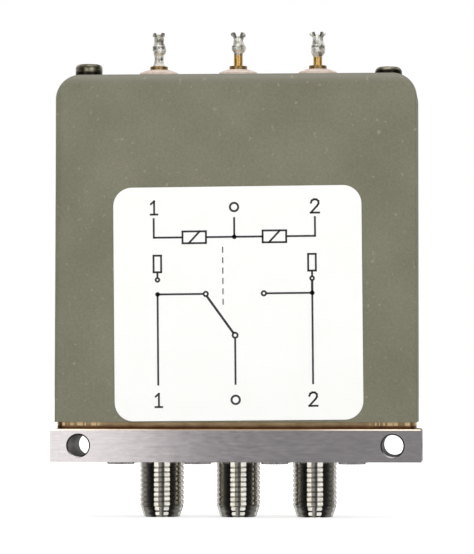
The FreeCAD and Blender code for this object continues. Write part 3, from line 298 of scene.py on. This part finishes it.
def gold_plate():
    """Plated over a sawn edge: painted shade makes it dark brown low down, with painted glints
    towards the two ends.
    """
    finish = Finish("gold_plate", {"Metallic": 1.0})
    patches = finish.grain(0.9, 4, (3, 1, 1))
    facets = finish.grain(0.44, 1, (1, 20, 20))
    ends = finish.towards_ends(19.2, 20)
    upper = finish.along("Z", PLATE_TOP + 0.46, PLATE_TOP + 0.56)
    plated = finish.between(patches, linear(162, 137, 103), linear(204, 177, 139))
    # painted shade: the lower part of the strip, set back between the cover and the plate, is
    # coloured darker
    painted_shade_low = finish.between(patches, linear(80, 46, 26), linear(112, 76, 46))
    colour = finish.mixed(finish.along("Z", PLATE_TOP + 0.25, PLATE_TOP + 0.75), painted_shade_low, plated)
    # painted highlights: bright specks towards the two ends stand in for light caught on the uneven
    # sawn edge
    glints = finish.math(
        "MULTIPLY", finish.level(facets, 0, 1, 0.49, 0.52), finish.math("MULTIPLY", ends, upper)
    )
    colour = finish.mixed(glints, colour, linear(246, 216, 168))
    finish.bump(finish.math("MULTIPLY", facets, ends), 0.03)
    return finish.done(colour, finish.level(facets, 0.4, 0.55))


def stainless_steel():
    """Turned about Z: fine rings, and the thread's last shallow turns on the bevelled mouth."""
    finish = Finish("stainless_steel", {"Metallic": 1.0})
    rings = finish.grain(0.04, 2, (40, 40, 1))
    patches = finish.grain(0.6, 4)
    turns = finish.bands(THREAD_PITCH, "Z")
    mouth = finish.along("Z", MOUTH_TOP, MOUTH_TOP - 0.2)
    finish.bump(finish.math("MULTIPLY", turns, mouth), 0.025)
    finish.bump(rings, 0.0003)
    colour = finish.between(patches, linear(184, 180, 171), linear(212, 209, 200))
    return finish.done(colour, finish.level(rings, 0.05, 0.11))


def cover_paint():
    """Grey olive paint with a fine orange peel, a painted highlight paler near the top, and a few
    pale specks.
    """
    finish = Finish("cover_paint", {"Specular IOR Level": 0.35})
    broad = finish.grain(9, 3)
    fine = finish.grain(0.35, 3)
    peel = finish.grain(0.16, 2)
    specks = finish.grain(0.85, 1)
    finish.bump(peel, 0.006)
    pattern = finish.both(broad, 0.5, fine)
    colour = finish.between(pattern, linear(114, 112, 93), linear(131, 129, 109), 0.34, 0.66)
    # painted highlight: lighter near the top, where the rounded top edges catch light from above
    top_painted_light = finish.along("Z", COVER_TOP - 1.7, COVER_TOP - 0.5)
    colour = finish.mixed(top_painted_light, colour, linear(128, 126, 111))
    marks = finish.level(specks, 0, 0.36, 0.68, 0.78)
    colour = finish.mixed(marks, colour, linear(176, 172, 156))
    return finish.done(colour, finish.level(fine, 0.42, 0.56))


def label_film():
    """White film with a faint unevenness from the paint under it."""
    finish = Finish("label_film", {"Specular IOR Level": 0.4})
    broad = finish.grain(7, 2)
    fine = finish.grain(0.3, 2)
    finish.bump(broad, 0.03)
    finish.bump(fine, 0.0015)
    colour = finish.between(broad, linear(253, 253, 250), linear(255, 255, 253))
    return finish.done(colour, finish.level(fine, 0.3, 0.42))


def label_ink():
    """Printed charcoal, a little uneven in cover."""
    finish = Finish("label_ink", {"Specular IOR Level": 0.4})
    fine = finish.grain(0.22, 3)
    colour = finish.between(fine, linear(38, 38, 40), linear(62, 62, 64), 0.25, 0.8)
    return finish.done(colour, finish.level(fine, 0.35, 0.5))


def black_screw_steel():
    """Black oxide, in uneven patches from dark olive to a pale brownish grey, with painted shade
    darker at the base of the head.
    """
    finish = Finish("black_screw_steel", {"Metallic": 0.85})
    patches = finish.grain(1.1, 2)
    finish.bump(finish.grain(0.07, 2), 0.004)
    colour = finish.shades(
        patches,
        [(0.35, linear(78, 74, 61)), (0.5, linear(126, 121, 101)), (0.7, linear(192, 185, 162))],
    )
    # painted shade: the head is coloured darker towards the cover, under its rounded top
    foot_painted_shade = finish.along("Z", COVER_TOP + 1.05, COVER_TOP + 0.7)
    colour = finish.mixed(foot_painted_shade, colour, linear(38, 34, 26))
    return finish.done(colour, finish.level(patches, 0.24, 0.4))


def tinned_gold(name, tin_from):
    """Gold plate, with painted shade darker on the collar and below it, that solder has wetted from
    that height upwards.
    """
    finish = Finish(name, {"Metallic": 1.0})
    patches = finish.grain(0.5, 3)
    ragged = finish.grain(0.45, 3)
    finish.bump(patches, 0.02)
    height = finish.math(
        "ADD", finish.part(finish.place, "Z"), finish.level(ragged, -0.5 * MM, 0.5 * MM)
    )
    wetted = finish.level(height, 0, 1, (tin_from - 0.1) * MM, (tin_from + 0.1) * MM)
    # painted shade: the gold is coloured darker up to the top of the collar
    collar = finish.along("Z", COLLAR_TOP + 0.05, COLLAR_TOP - 0.05)
    gold = finish.between(patches, linear(232, 180, 98), linear(254, 214, 138))
    gold = finish.mixed(collar, gold, linear(172, 142, 94))
    tin = finish.between(patches, linear(176, 174, 168), linear(216, 214, 208))
    return finish.done(finish.mixed(wetted, gold, tin), finish.level(patches, 0.32, 0.46))


def solder():
    """Old solder, dull and a little crusted, uneven in tone, with near-white patches of painted
    highlight and dark grey patches of painted shade.
    """
    finish = Finish("solder", {"Metallic": 0.6})
    patches = finish.grain(0.9, 2)
    crust = finish.grain(0.5, 2)
    finish.bump(crust, 0.02)
    # partly painted light: the near-white patches stand in for highlights and the dark grey ones
    # for shade
    colour = finish.shades(
        patches,
        [(0.3, linear(118, 112, 97)), (0.45, linear(214, 210, 197)), (0.64, linear(255, 254, 246))],
    )
    return finish.done(colour, finish.level(crust, 0.3, 0.45))


def wound_copper():
    """Enamelled wire laid in close turns."""
    finish = Finish("copper_wire", {"Metallic": 0.9, "Coat Weight": 0.5, "Coat Roughness": 0.15})
    turns = finish.bands(0.16, "Z", 0.4)
    patches = finish.grain(0.8, 3)
    finish.bump(turns, 0.05)
    colour = finish.between(patches, linear(150, 78, 42), linear(196, 112, 64))
    return finish.done(colour, finish.level(patches, 0.25, 0.4))


def board_laminate():
    """Glass-fibre board: the weave shows faintly through the green mask."""
    finish = Finish("board_laminate", {"Coat Weight": 0.3, "Coat Roughness": 0.2})
    weave = finish.math("MULTIPLY", finish.bands(0.5, "X", 0.3), finish.bands(0.5, "Z", 0.3))
    patches = finish.grain(2.5, 3)
    finish.bump(weave, 0.01)
    pattern = finish.both(weave, 0.3, patches)
    colour = finish.between(pattern, linear(26, 74, 48), linear(48, 112, 74), 0.2, 0.7)
    return finish.done(colour, finish.level(patches, 0.35, 0.5))


FINISHES = {
    "machined_aluminium": machined_aluminium(),
    "gold_plate": gold_plate(),
    "stainless_steel": stainless_steel(),
    "cover_paint": cover_paint(),
    "label_film": label_film(),
    "black_screw_steel": black_screw_steel(),
    "solder": solder(),
    "copper_wire": wound_copper(),
    "board_laminate": board_laminate(),
    "terminal_gold": tinned_gold("terminal_gold", COVER_TOP + 3.2),
    "contact_gold": metal(
        "contact_gold", linear(216, 162, 78), linear(240, 194, 110), (0.15, 0.3)
    ),
    "screw_steel": metal(
        "screw_steel", linear(182, 178, 178), linear(214, 210, 210), (0.25, 0.42), 0.3, 0.008
    ),
    "soft_iron": metal("soft_iron", linear(128, 126, 122), linear(168, 165, 160), (0.35, 0.5)),
    "magnet": metal("magnet", linear(84, 84, 88), linear(118, 118, 122), (0.3, 0.45)),
    "frame_brass": metal(
        "frame_brass", linear(176, 138, 70), linear(208, 172, 98), (0.28, 0.42), 1.5
    ),
    "spring_steel": metal(
        "spring_steel", linear(150, 148, 146), linear(196, 194, 190), (0.2, 0.32)
    ),
    "dielectric": moulded(
        "dielectric", linear(232, 230, 224), linear(246, 245, 240), (0.4, 0.55),
        **{"Subsurface Weight": 0.15, "Subsurface Scale": 0.0008},
    ),
    "bushing_plastic": moulded(
        "bushing_plastic", linear(216, 196, 184), linear(238, 222, 208), (0.35, 0.5),
        **{"Subsurface Weight": 0.1, "Subsurface Scale": 0.0006},
    ),
    "bobbin_plastic": moulded(
        "bobbin_plastic", linear(60, 58, 56), linear(80, 78, 74), (0.4, 0.55)
    ),
    "rod_plastic": moulded(
        "rod_plastic", linear(214, 206, 186), linear(232, 226, 208), (0.4, 0.55)
    ),
    "chip_ceramic": moulded(
        "chip_ceramic", linear(206, 204, 200), linear(228, 226, 222), (0.45, 0.6)
    ),
    "component_black": moulded(
        "component_black", linear(30, 30, 32), linear(46, 46, 48), (0.45, 0.6)
    ),
}


def dress_nodes():
    """Every carried-over piece takes the finish of the slot that it came with."""
    for part in nodes.values():
        for slot in part.material_slots:
            slot.material = FINISHES[slot.material.name.split(".")[0]]


dress_nodes()


# ------------------------------------------------------------------ making pieces


def add_piece(name, mesh_maker, material, smooth=False):
    """A new mesh piece that rides on the body."""
    shape = bmesh.new()
    mesh_maker(shape)
    bmesh.ops.recalc_face_normals(shape, faces=shape.faces)
    mesh = bpy.data.meshes.new(name)
    shape.to_mesh(mesh)
    shape.free()
    for face in mesh.polygons:
        face.use_smooth = smooth
    mesh.materials.append(material)
    piece = bpy.data.objects.new(name, mesh)
    scene.collection.objects.link(piece)
    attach(piece, "body")


def circle_turns(steps):
    """Cosine and sine of even steps round a circle."""
    turns = [math.tau * step / steps for step in range(steps)]
    return [(math.cos(turn), math.sin(turn)) for turn in turns]


def join_rings(shape, rings):
    """Skins a tube over rings of as many points each."""
    for lower, upper in zip(rings, rings[1:]):
        for index in range(len(lower)):
            following = (index + 1) % len(lower)
            shape.faces.new((lower[index], lower[following], upper[following], upper[index]))


# ------------------------------------------------------------------ label print

label_low, label_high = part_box("label")
LABEL_FACE = label_low.y
LABEL_MIDDLE = (label_low + label_high) / 2
LABEL_TILT = math.radians(0.5)
INK_PROUD = 0.012 * MM

# the print, in millimetres from the label's middle
MIDDLE = -LABEL_MIDDLE.x / MM
LINE = 0.28
HEAVY_LINE = 0.34
DOT_RADIUS = 0.34
RING_TURNS = circle_turns(28)
PORT_LINE_FOOT = -11.6
PIVOT_LEVEL = -4.6
PIVOT_RADIUS = 0.5
CONTACT_LEVEL = 1.4
CONTACT_REACH = 4.2
CONTACT_RADIUS = 0.45
LOAD_CONTACT_LEVEL = 3.5
LOAD_CONTACT_RADIUS = 0.4
LOAD_FOOT = 4.6
LOAD_WIDTH = 1.1
LOAD_HEIGHT = 2.4
COIL_REACH = 5.8
COIL_LEVEL = 9.6
COIL_WIDTH = 3.4
COIL_HEIGHT = 1.7
COIL_SLASH = 0.8
DASH_SHIFT = -1.7
DASH_COUNT = 6
DASH_PITCH = 1.5
DASH_LENGTH = 0.7
DASH_LINE = 0.16
MARK_LEVEL = 13.9
MARK_RADIUS = 0.75
MARK_LINE = 0.3
TERMINAL_LINE_TOP = MARK_LEVEL - 1.6
FIGURE_HEIGHT = 1.9
FIGURES = {
    # strokes of a plain figure, one unit high
    "1": [[(-0.2, 0.3), (0.04, 0.5), (0.04, -0.5)], [(-0.22, -0.5), (0.28, -0.5)]],
    "2": [
        [
            (-0.29, 0.26), (-0.22, 0.42), (-0.06, 0.51), (0.13, 0.5), (0.27, 0.38), (0.28, 0.19),
            (0.18, 0.02), (-0.3, -0.5), (0.32, -0.5),
        ]
    ],
}


def on_label(across, up, depth):
    """A point of the print, that far in front of the label's face."""
    turned_x = across * math.cos(LABEL_TILT) - up * math.sin(LABEL_TILT)
    turned_z = across * math.sin(LABEL_TILT) + up * math.cos(LABEL_TILT)
    return Vector(
        (LABEL_MIDDLE.x + turned_x * MM, LABEL_FACE - depth, LABEL_MIDDLE.z + turned_z * MM)
    )


def ink_patch(shape, points):
    """A flat patch of ink with a little thickness."""
    front = [shape.verts.new(on_label(x, z, INK_PROUD)) for x, z in points]
    back = [shape.verts.new(on_label(x, z, -INK_PROUD)) for x, z in points]
    shape.faces.new(front)
    shape.faces.new(list(reversed(back)))
    join_rings(shape, [front, back])


def ink_line(shape, start, end, width=LINE):
    start, end = Vector(start), Vector(end)
    ahead = (end - start).normalized() * width / 2
    side = Vector((-ahead.y, ahead.x))
    first, last = start - ahead, end + ahead
    ink_patch(shape, [first - side, last - side, last + side, first + side])


def ink_path(shape, points):
    for start, end in zip(points, points[1:]):
        ink_line(shape, start, end)


def ink_circle(centre, radius):
    return [(centre[0] + radius * x, centre[1] + radius * z) for x, z in RING_TURNS]


def ink_dot(shape, centre):
    ink_patch(shape, ink_circle(centre, DOT_RADIUS))


def ink_ring(shape, centre, radius, width=LINE):
    inside = radius - width
    rings = []
    for reach, depth in (
        (radius, INK_PROUD), (inside, INK_PROUD), (inside, -INK_PROUD), (radius, -INK_PROUD)
    ):
        rings.append([shape.verts.new(on_label(x, z, depth)) for x, z in ink_circle(centre, reach)])
    join_rings(shape, rings + rings[:1])


def ink_box(shape, centre, width, height):
    half_x, half_z = width / 2, height / 2
    corners = [(-half_x, -half_z), (half_x, -half_z), (half_x, half_z), (-half_x, half_z)]
    corners = [(centre[0] + x, centre[1] + z) for x, z in corners]
    ink_path(shape, corners + corners[:1])


def ink_figure(shape, figure, centre):
    for stroke in FIGURES[figure]:
        ink_path(
            shape,
            [(centre[0] + x * FIGURE_HEIGHT, centre[1] + z * FIGURE_HEIGHT) for x, z in stroke],
        )


def draw_switching(shape):
    """Changeover diagram: the common line's arm, two contacts, a termination on each side."""
    ink_line(shape, (MIDDLE, PORT_LINE_FOOT), (MIDDLE, PIVOT_LEVEL - PIVOT_RADIUS))
    ink_ring(shape, (MIDDLE, PIVOT_LEVEL), PIVOT_RADIUS)
    for side in (-1, 1):
        contact = MIDDLE + side * CONTACT_REACH
        port = MIDDLE + side * PORT_X
        ink_ring(shape, (contact, CONTACT_LEVEL), CONTACT_RADIUS)
        beside = (contact + side * CONTACT_RADIUS, CONTACT_LEVEL)
        ink_path(shape, [beside, (port, CONTACT_LEVEL), (port, PORT_LINE_FOOT)])
        ink_dot(shape, (port, CONTACT_LEVEL))
        ink_ring(shape, (port, LOAD_CONTACT_LEVEL), LOAD_CONTACT_RADIUS)
        ink_line(shape, (port, LOAD_CONTACT_LEVEL + LOAD_CONTACT_RADIUS), (port, LOAD_FOOT))
        ink_box(shape, (port, LOAD_FOOT + LOAD_HEIGHT / 2), LOAD_WIDTH, LOAD_HEIGHT)
    # the arm lies on the left contact, the right termination is joined
    arm_foot = (MIDDLE - 0.3, PIVOT_LEVEL + 0.4)
    arm_tip = (MIDDLE - CONTACT_REACH + 0.2, CONTACT_LEVEL - 0.4)
    ink_line(shape, arm_foot, arm_tip, HEAVY_LINE)
    right = MIDDLE + PORT_X
    joined = (right, LOAD_CONTACT_LEVEL - LOAD_CONTACT_RADIUS)
    ink_line(shape, (right, CONTACT_LEVEL), joined, HEAVY_LINE)


def draw_drive(shape):
    """The two coils between the outer terminals and the common one."""
    for side in (-1, 1):
        terminal = MIDDLE + side * TERMINAL_X
        coil = MIDDLE + side * COIL_REACH
        outer, inner = coil + side * COIL_WIDTH / 2, coil - side * COIL_WIDTH / 2
        ink_path(
            shape, [(terminal, TERMINAL_LINE_TOP), (terminal, COIL_LEVEL), (outer, COIL_LEVEL)]
        )
        ink_box(shape, (coil, COIL_LEVEL), COIL_WIDTH, COIL_HEIGHT)
        low, high = COIL_LEVEL - COIL_HEIGHT / 2, COIL_LEVEL + COIL_HEIGHT / 2
        ink_line(shape, (coil - COIL_SLASH, low), (coil + COIL_SLASH, high))
        ink_line(shape, (inner, COIL_LEVEL), (MIDDLE, COIL_LEVEL))
    ink_line(shape, (MIDDLE, COIL_LEVEL), (MIDDLE, TERMINAL_LINE_TOP))
    ink_dot(shape, (MIDDLE, COIL_LEVEL))
    for step in range(DASH_COUNT):
        level = COIL_LEVEL - (step + 1) * DASH_PITCH
        dash = MIDDLE + DASH_SHIFT
        ink_line(shape, (dash, level), (dash, level - DASH_LENGTH), DASH_LINE)


def draw_print(shape):
    draw_switching(shape)
    draw_drive(shape)
    for level, reach in ((MARK_LEVEL, TERMINAL_X), (-MARK_LEVEL, PORT_X)):
        ink_ring(shape, (MIDDLE, level), MARK_RADIUS, MARK_LINE)
        ink_figure(shape, "1", (MIDDLE - reach, level))
        ink_figure(shape, "2", (MIDDLE + reach, level))


add_piece("label_print", draw_print, label_ink())


# ------------------------------------------------------------------ solder on the terminals

SOLDER = {
    # rings of (height above the cover, radius, lean towards +X), in millimetres
    "terminal_1": [
        (1.6, 0.92, 0), (2.0, 0.7, 0), (2.6, 0.64, 0), (3.2, 0.7, 0), (3.5, 0.88, 0.06),
        (3.95, 0.96, 0.08), (4.4, 0.92, 0.06), (4.75, 0.8, 0.02), (5.1, 0.7, 0), (5.5, 0.74, 0),
        (5.9, 0.74, 0), (6.1, 0.55, 0), (6.15, 0.2, 0),
    ],
    "common_terminal": [
        (3.35, 0.62, 0), (3.6, 0.76, 0.04), (3.9, 0.94, 0.08), (4.2, 1.04, 0.1),
        (4.45, 0.96, 0.08), (4.75, 0.8, 0.06), (5.1, 0.72, 0.02), (5.5, 0.68, 0),
        (5.85, 0.55, 0), (6.0, 0.2, 0),
    ],
    "terminal_2": [
        (2.8, 0.62, 0), (3.0, 0.72, 0), (3.3, 0.9, 0.03), (3.6, 1.0, 0.06), (4.0, 1.02, 0.06),
        (4.4, 0.93, 0.08), (4.8, 0.84, 0.06), (5.3, 0.78, 0.03), (5.7, 0.74, 0),
        (6.0, 0.58, 0), (6.1, 0.2, 0),
    ],
}
BEADS = {
    # solder left on the prongs: (across, height above the cover, radius), in millimetres
    "terminal_1": [(-0.66, 6.2, 0.3), (0.52, 6.25, 0.34), (-0.05, 6.05, 0.34)],
    "common_terminal": [
        (-0.78, 6.28, 0.32), (0.76, 6.14, 0.33), (-0.5, 5.8, 0.26), (0.48, 5.66, 0.28)
    ],
    "terminal_2": [
        (-0.95, 6.2, 0.26), (-0.56, 5.96, 0.3), (0.92, 6.25, 0.26), (0.54, 5.94, 0.32)
    ],
}
SOLDER_TURNS = circle_turns(40)
RINGS_BETWEEN = 4
# unevenness as a share of the radius, and the size of its patches in millimetres
LUMP_UNEVEN, LUMP_PATCH = 0.12, 0.55
BEAD_UNEVEN, BEAD_PATCH = 0.2, 0.3


def uneven(point, size, seed):
    """Smooth noise of about -1 to 1 at a point, in patches of that many millimetres."""
    return noise.noise(point / (size * MM) + Vector((seed * 7.3, seed * 3.1, seed * 1.7)))


def filled_in(rings):
    """The same outline with more rings, eased from each one into the next."""
    dense = []
    for low, high in zip(rings, rings[1:]):
        for step in range(RINGS_BETWEEN):
            share = step / RINGS_BETWEEN
            share = share * share * (3 - 2 * share)
            dense.append([a + (b - a) * share for a, b in zip(low, high)])
    return dense + [rings[-1]]


def add_lump(shape, axis, rings, seed):
    """A closed lump of stacked rings round a terminal."""
    skins = []
    for height, radius, lean in filled_in(rings):
        skin = []
        for cosine, sine in SOLDER_TURNS:
            spot = axis + Vector((lean + radius * cosine, radius * sine, height)) * MM
            push = uneven(spot, LUMP_PATCH, seed) * LUMP_UNEVEN * radius * MM
            skin.append(shape.verts.new(spot + Vector((cosine, sine, 0)) * push))
        skins.append(skin)
    join_rings(shape, skins)
    shape.faces.new(list(reversed(skins[0])))
    shape.faces.new(skins[-1])


def add_bead(shape, centre, radius, seed):
    """An uneven drop."""
    drop = bmesh.ops.create_icosphere(shape, subdivisions=3, radius=radius * MM)
    for vert in drop["verts"]:
        push = BEAD_UNEVEN * uneven(centre + vert.co, BEAD_PATCH, seed)
        vert.co = centre + vert.co * (1 + push)


def add_solder():
    for seed, (name, rings) in enumerate(SOLDER.items(), start=1):
        low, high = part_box(name)
        axis = Vector(((low.x + high.x) / 2, (low.y + high.y) / 2, COVER_TOP * MM))

        def make(shape):
            add_lump(shape, axis, rings, seed)
            for across, height, radius in BEADS[name]:
                add_bead(shape, axis + Vector((across, 0, height)) * MM, radius, seed)

        add_piece(f"{name}_solder", make, FINISHES["solder"], smooth=True)
    low_tin = tinned_gold("terminal_tinned", COVER_TOP + 2.1)
    nodes["terminal_1"].material_slots[0].material = low_tin


add_solder()


# ------------------------------------------------------------------ return springs


def add_springs():
    """Return springs that stand on the channel's cover under the push rods' caps, copied in place
    of the carried-over ones, which are hidden.
    """
    for way in ("load_1", "path_1", "path_2", "load_2"):
        node = nodes[f"{way}_return_spring"]
        mesh = node.data.copy()
        mesh.transform(node.matrix_world)
        spring = bpy.data.objects.new(f"{way}_spring", mesh)
        scene.collection.objects.link(spring)
        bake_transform(spring)
        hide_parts(node.name)


add_springs()


# ------------------------------------------------------------------ knurls on the body screws

HEAD_RADIUS = 1.85
HEAD_PROUD = 0.28
HEAD_HEIGHT = 1.2
SCREW_ROW = 4.3
SCREW_COLUMNS = (-1.5, -0.5, 0.5, 1.5)
KNURL_TEETH = 26
TOOTH_STEPS = 6
TOOTH_DEPTH = 0.14
TOOTH_DROP = 0.08


def draw_knurls(shape):
    """A band of upright rounded teeth round each of the eight heads under the plate."""
    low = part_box("base_plate")[0].z / MM - HEAD_PROUD
    high = low + HEAD_HEIGHT
    valley = HEAD_RADIUS - 0.01
    # (height, radius in the valleys, share of a tooth's depth, share of its drop)
    profile = [
        (low + 0.06, HEAD_RADIUS - 0.08, 0.0, 0.0), (low, HEAD_RADIUS - 0.02, 0.4, 0.8),
        (low + 0.12, valley, 1.0, 0.6), (low + 0.3, valley, 1.0, 0.0),
        (high, valley, 1.0, 0.0), (high, HEAD_RADIUS - 0.08, 0.0, 0.0),
    ]
    turns = circle_turns(KNURL_TEETH * TOOTH_STEPS)
    teeth = [abs(math.sin(math.pi * step / TOOTH_STEPS)) for step in range(len(turns))]
    for column in SCREW_COLUMNS:
        for row in (-SCREW_ROW, SCREW_ROW):
            rings = []
            for level, radius, depth, drop in profile:
                ring = []
                for (cosine, sine), tooth in zip(turns, teeth):
                    reach = radius + tooth * depth * TOOTH_DEPTH
                    spot = Vector((
                        column * PORT_X + reach * cosine,
                        row + reach * sine,
                        level - tooth * drop * TOOTH_DROP,
                    ))
                    ring.append(shape.verts.new(spot * MM))
                rings.append(ring)
            join_rings(shape, rings + rings[:1])


add_piece("body_screw_knurls", draw_knurls, FINISHES["screw_steel"])


# ------------------------------------------------------------------ floor and world

FLOOR_HALF = 3.0
FLOOR_SHADE = 0.8
FLOOR_GLOW = 0.55
FILL_LEVEL = 0.82

# azimuth in degrees from the front, positive towards +X, and the level that gloss sees there
STUDIO_ROUND = [
    (-180, 0.16), (-164, 0.3), (-120, 0.36), (-97, 0.32), (-76, 0.06), (-56, 0.015),
    (-46, 0.015), (-19.5, 0.05), (-15.5, 0.38), (-12.5, 0.38), (-10.5, 0.45), (0, 0.4),
    (4, 0.14), (14, 0.14), (20, 0.04), (50, 0.015), (77, 0.04), (97, 0.18), (124, 0.3),
    (164, 0.28), (180, 0.16),
]
# heights of a direction, as its sine, between which the studio goes over into a white ceiling
CEILING_FROM = 0.55
CEILING_FULL = 0.85


class Surroundings(Graph):
    """Shader nodes that show one thing to the camera and another to gloss."""

    def __init__(self, tree):
        super().__init__(tree)
        self.path = self.node("ShaderNodeLightPath")

    def studio(self):
        """The level that gloss sees round the object, with the ceiling above."""
        way = self.node("ShaderNodeTexCoord").outputs["Generated"]
        back = self.math("MULTIPLY", self.part(way, "Y"), -1)
        turn = self.math("ARCTAN2", self.part(way, "X"), back)
        around = self.math("ADD", self.math("DIVIDE", turn, math.tau), 0.5)
        stops = [((azimuth / 360) + 0.5, grey(level)) for azimuth, level in STUDIO_ROUND]
        upward = self.level(self.part(way, "Z"), 0, 1, CEILING_FROM, CEILING_FULL)
        return self.mixed(upward, self.shades(around, stops), grey(1.0))

    def light(self, kind, colour, strength):
        """Light of a colour or of a colour socket, at a strength or at a strength socket."""
        glow = self.node(kind)
        self.feed(glow.inputs["Color"], colour)
        self.feed(glow.inputs["Strength"], strength)
        return glow.outputs[0]

    def choose(self, share, without, within):
        mix = self.node("ShaderNodeMixShader")
        for socket, source in zip(mix.inputs, (share, without, within)):
            self.link(source, socket)
        return mix.outputs[0]


def add_floor():
    """A plain pale floor that keeps the object's shadow. Gloss sees the studio through it."""
    mesh = bpy.data.meshes.new("floor")
    corners = [(x * FLOOR_HALF, y * FLOOR_HALF, 0) for x, y in ((-1, -1), (1, -1), (1, 1), (-1, 1))]
    mesh.from_pydata(corners, [], [(0, 1, 2, 3)])
    floor = bpy.data.objects.new("floor", mesh)
    scene.collection.objects.link(floor)
    material = bpy.data.materials.new("floor_white")
    material.use_nodes = True
    around = Surroundings(material.node_tree)
    matt = around.node("ShaderNodeBsdfDiffuse")
    matt.inputs["Color"].default_value = grey(FLOOR_SHADE)
    seen_glow = around.math("MULTIPLY", around.path.outputs["Is Camera Ray"], FLOOR_GLOW)
    both = around.node("ShaderNodeAddShader")
    around.link(matt.outputs[0], both.inputs[0])
    around.link(around.light("ShaderNodeEmission", grey(1.0), seen_glow), both.inputs[1])
    clear = around.node("ShaderNodeBsdfTransparent").outputs[0]
    surface = around.choose(around.path.outputs["Is Glossy Ray"], both.outputs[0], clear)
    around.link(surface, around.node("ShaderNodeOutputMaterial").inputs["Surface"])
    mesh.materials.append(material)


def build_world():
    """White behind the object; gloss sees a studio with pale sides and a dark front."""
    world = bpy.data.worlds.new("studio")
    scene.world = world
    world.use_nodes = True
    around = Surroundings(world.node_tree)
    gloss = around.light("ShaderNodeBackground", around.studio(), 1.0)
    fill = around.light("ShaderNodeBackground", grey(1.0), FILL_LEVEL)
    white = around.light("ShaderNodeBackground", grey(1.0), 1.0)
    unseen = around.choose(around.path.outputs["Is Glossy Ray"], fill, gloss)
    direct = around.math(
        "MAXIMUM", around.path.outputs["Is Camera Ray"], around.path.outputs["Is Transmission Ray"]
    )
    surface = around.choose(direct, unseen, white)
    around.link(surface, around.node("ShaderNodeOutputWorld").inputs["Surface"])


# ------------------------------------------------------------------ lamps and camera

LAMP_TARGET = Vector((0.0, -0.007, 0.036))
LAMP_DISTANCE = 0.9
# watts per square metre of a lamp of level 1
LAMP_POWER = 4

# name, azimuth and elevation in degrees, width and height in metres, level, colour
SOFTBOXES = [
    ("softbox_left", -26.8, -8, 0.36, 1.5, 1.18, (1.0, 0.985, 0.97)),
    ("softbox_right", 32.3, -8, 0.465, 1.5, 1.1, (0.98, 0.99, 1.0)),
    ("softbox_back_left", -142, 8, 0.5, 1.0, 0.5, (1, 1, 1)),
    ("softbox_back_right", 142, 8, 0.5, 1.0, 0.5, (1, 1, 1)),
    ("softbox_top", 0, 80, 0.7, 0.5, 0.9, (1, 1, 1)),
]

CAMERA_AZIMUTH = 4.2
CAMERA_DISTANCE = 0.47
CAMERA_HEIGHT = 0.02
CAMERA_TARGET = Vector((0.0003, -0.0067, 0.03478))
MM_PER_PIXEL = 0.1442
SENSOR = 36.0


def set_facing(thing, target, azimuth, elevation, distance):
    """Puts a lamp or the camera at a distance from a point, looking at it. Angles in degrees."""
    turn, rise = math.radians(azimuth), math.radians(elevation)
    outward = Vector(
        (math.sin(turn) * math.cos(rise), -math.cos(turn) * math.cos(rise), math.sin(rise))
    )
    thing.location = target + outward * distance
    thing.rotation_mode = "QUATERNION"
    thing.rotation_quaternion = (-outward).to_track_quat("-Z", "Y")
    scene.collection.objects.link(thing)


def add_lamps():
    """Rectangular lamps that face the object, each at an even brightness of its level."""
    for name, azimuth, elevation, width, height, level, colour in SOFTBOXES:
        lamp = bpy.data.lights.new(name, "AREA")
        lamp.shape = "RECTANGLE"
        lamp.size = width
        lamp.size_y = height
        lamp.energy = LAMP_POWER * width * height * level
        lamp.color = colour
        light = bpy.data.objects.new(name, lamp)
        light.visible_camera = False
        set_facing(light, LAMP_TARGET, azimuth, elevation, LAMP_DISTANCE)


def add_camera():
    """Low and a little to the right of the front, far enough that the sides stay nearly square."""
    data = bpy.data.cameras.new("camera")
    data.sensor_width = SENSOR
    data.lens = SENSOR * CAMERA_DISTANCE / (IMAGE_HEIGHT * MM_PER_PIXEL * MM)
    data.clip_start = 0.01
    data.clip_end = 20
    camera = bpy.data.objects.new("camera", data)
    elevation = math.degrees(math.asin((CAMERA_HEIGHT - CAMERA_TARGET.z) / CAMERA_DISTANCE))
    set_facing(camera, CAMERA_TARGET, CAMERA_AZIMUTH, elevation, CAMERA_DISTANCE)
    scene.camera = camera


add_floor()
build_world()
add_lamps()
add_camera()
scene.view_settings.view_transform = "Standard"
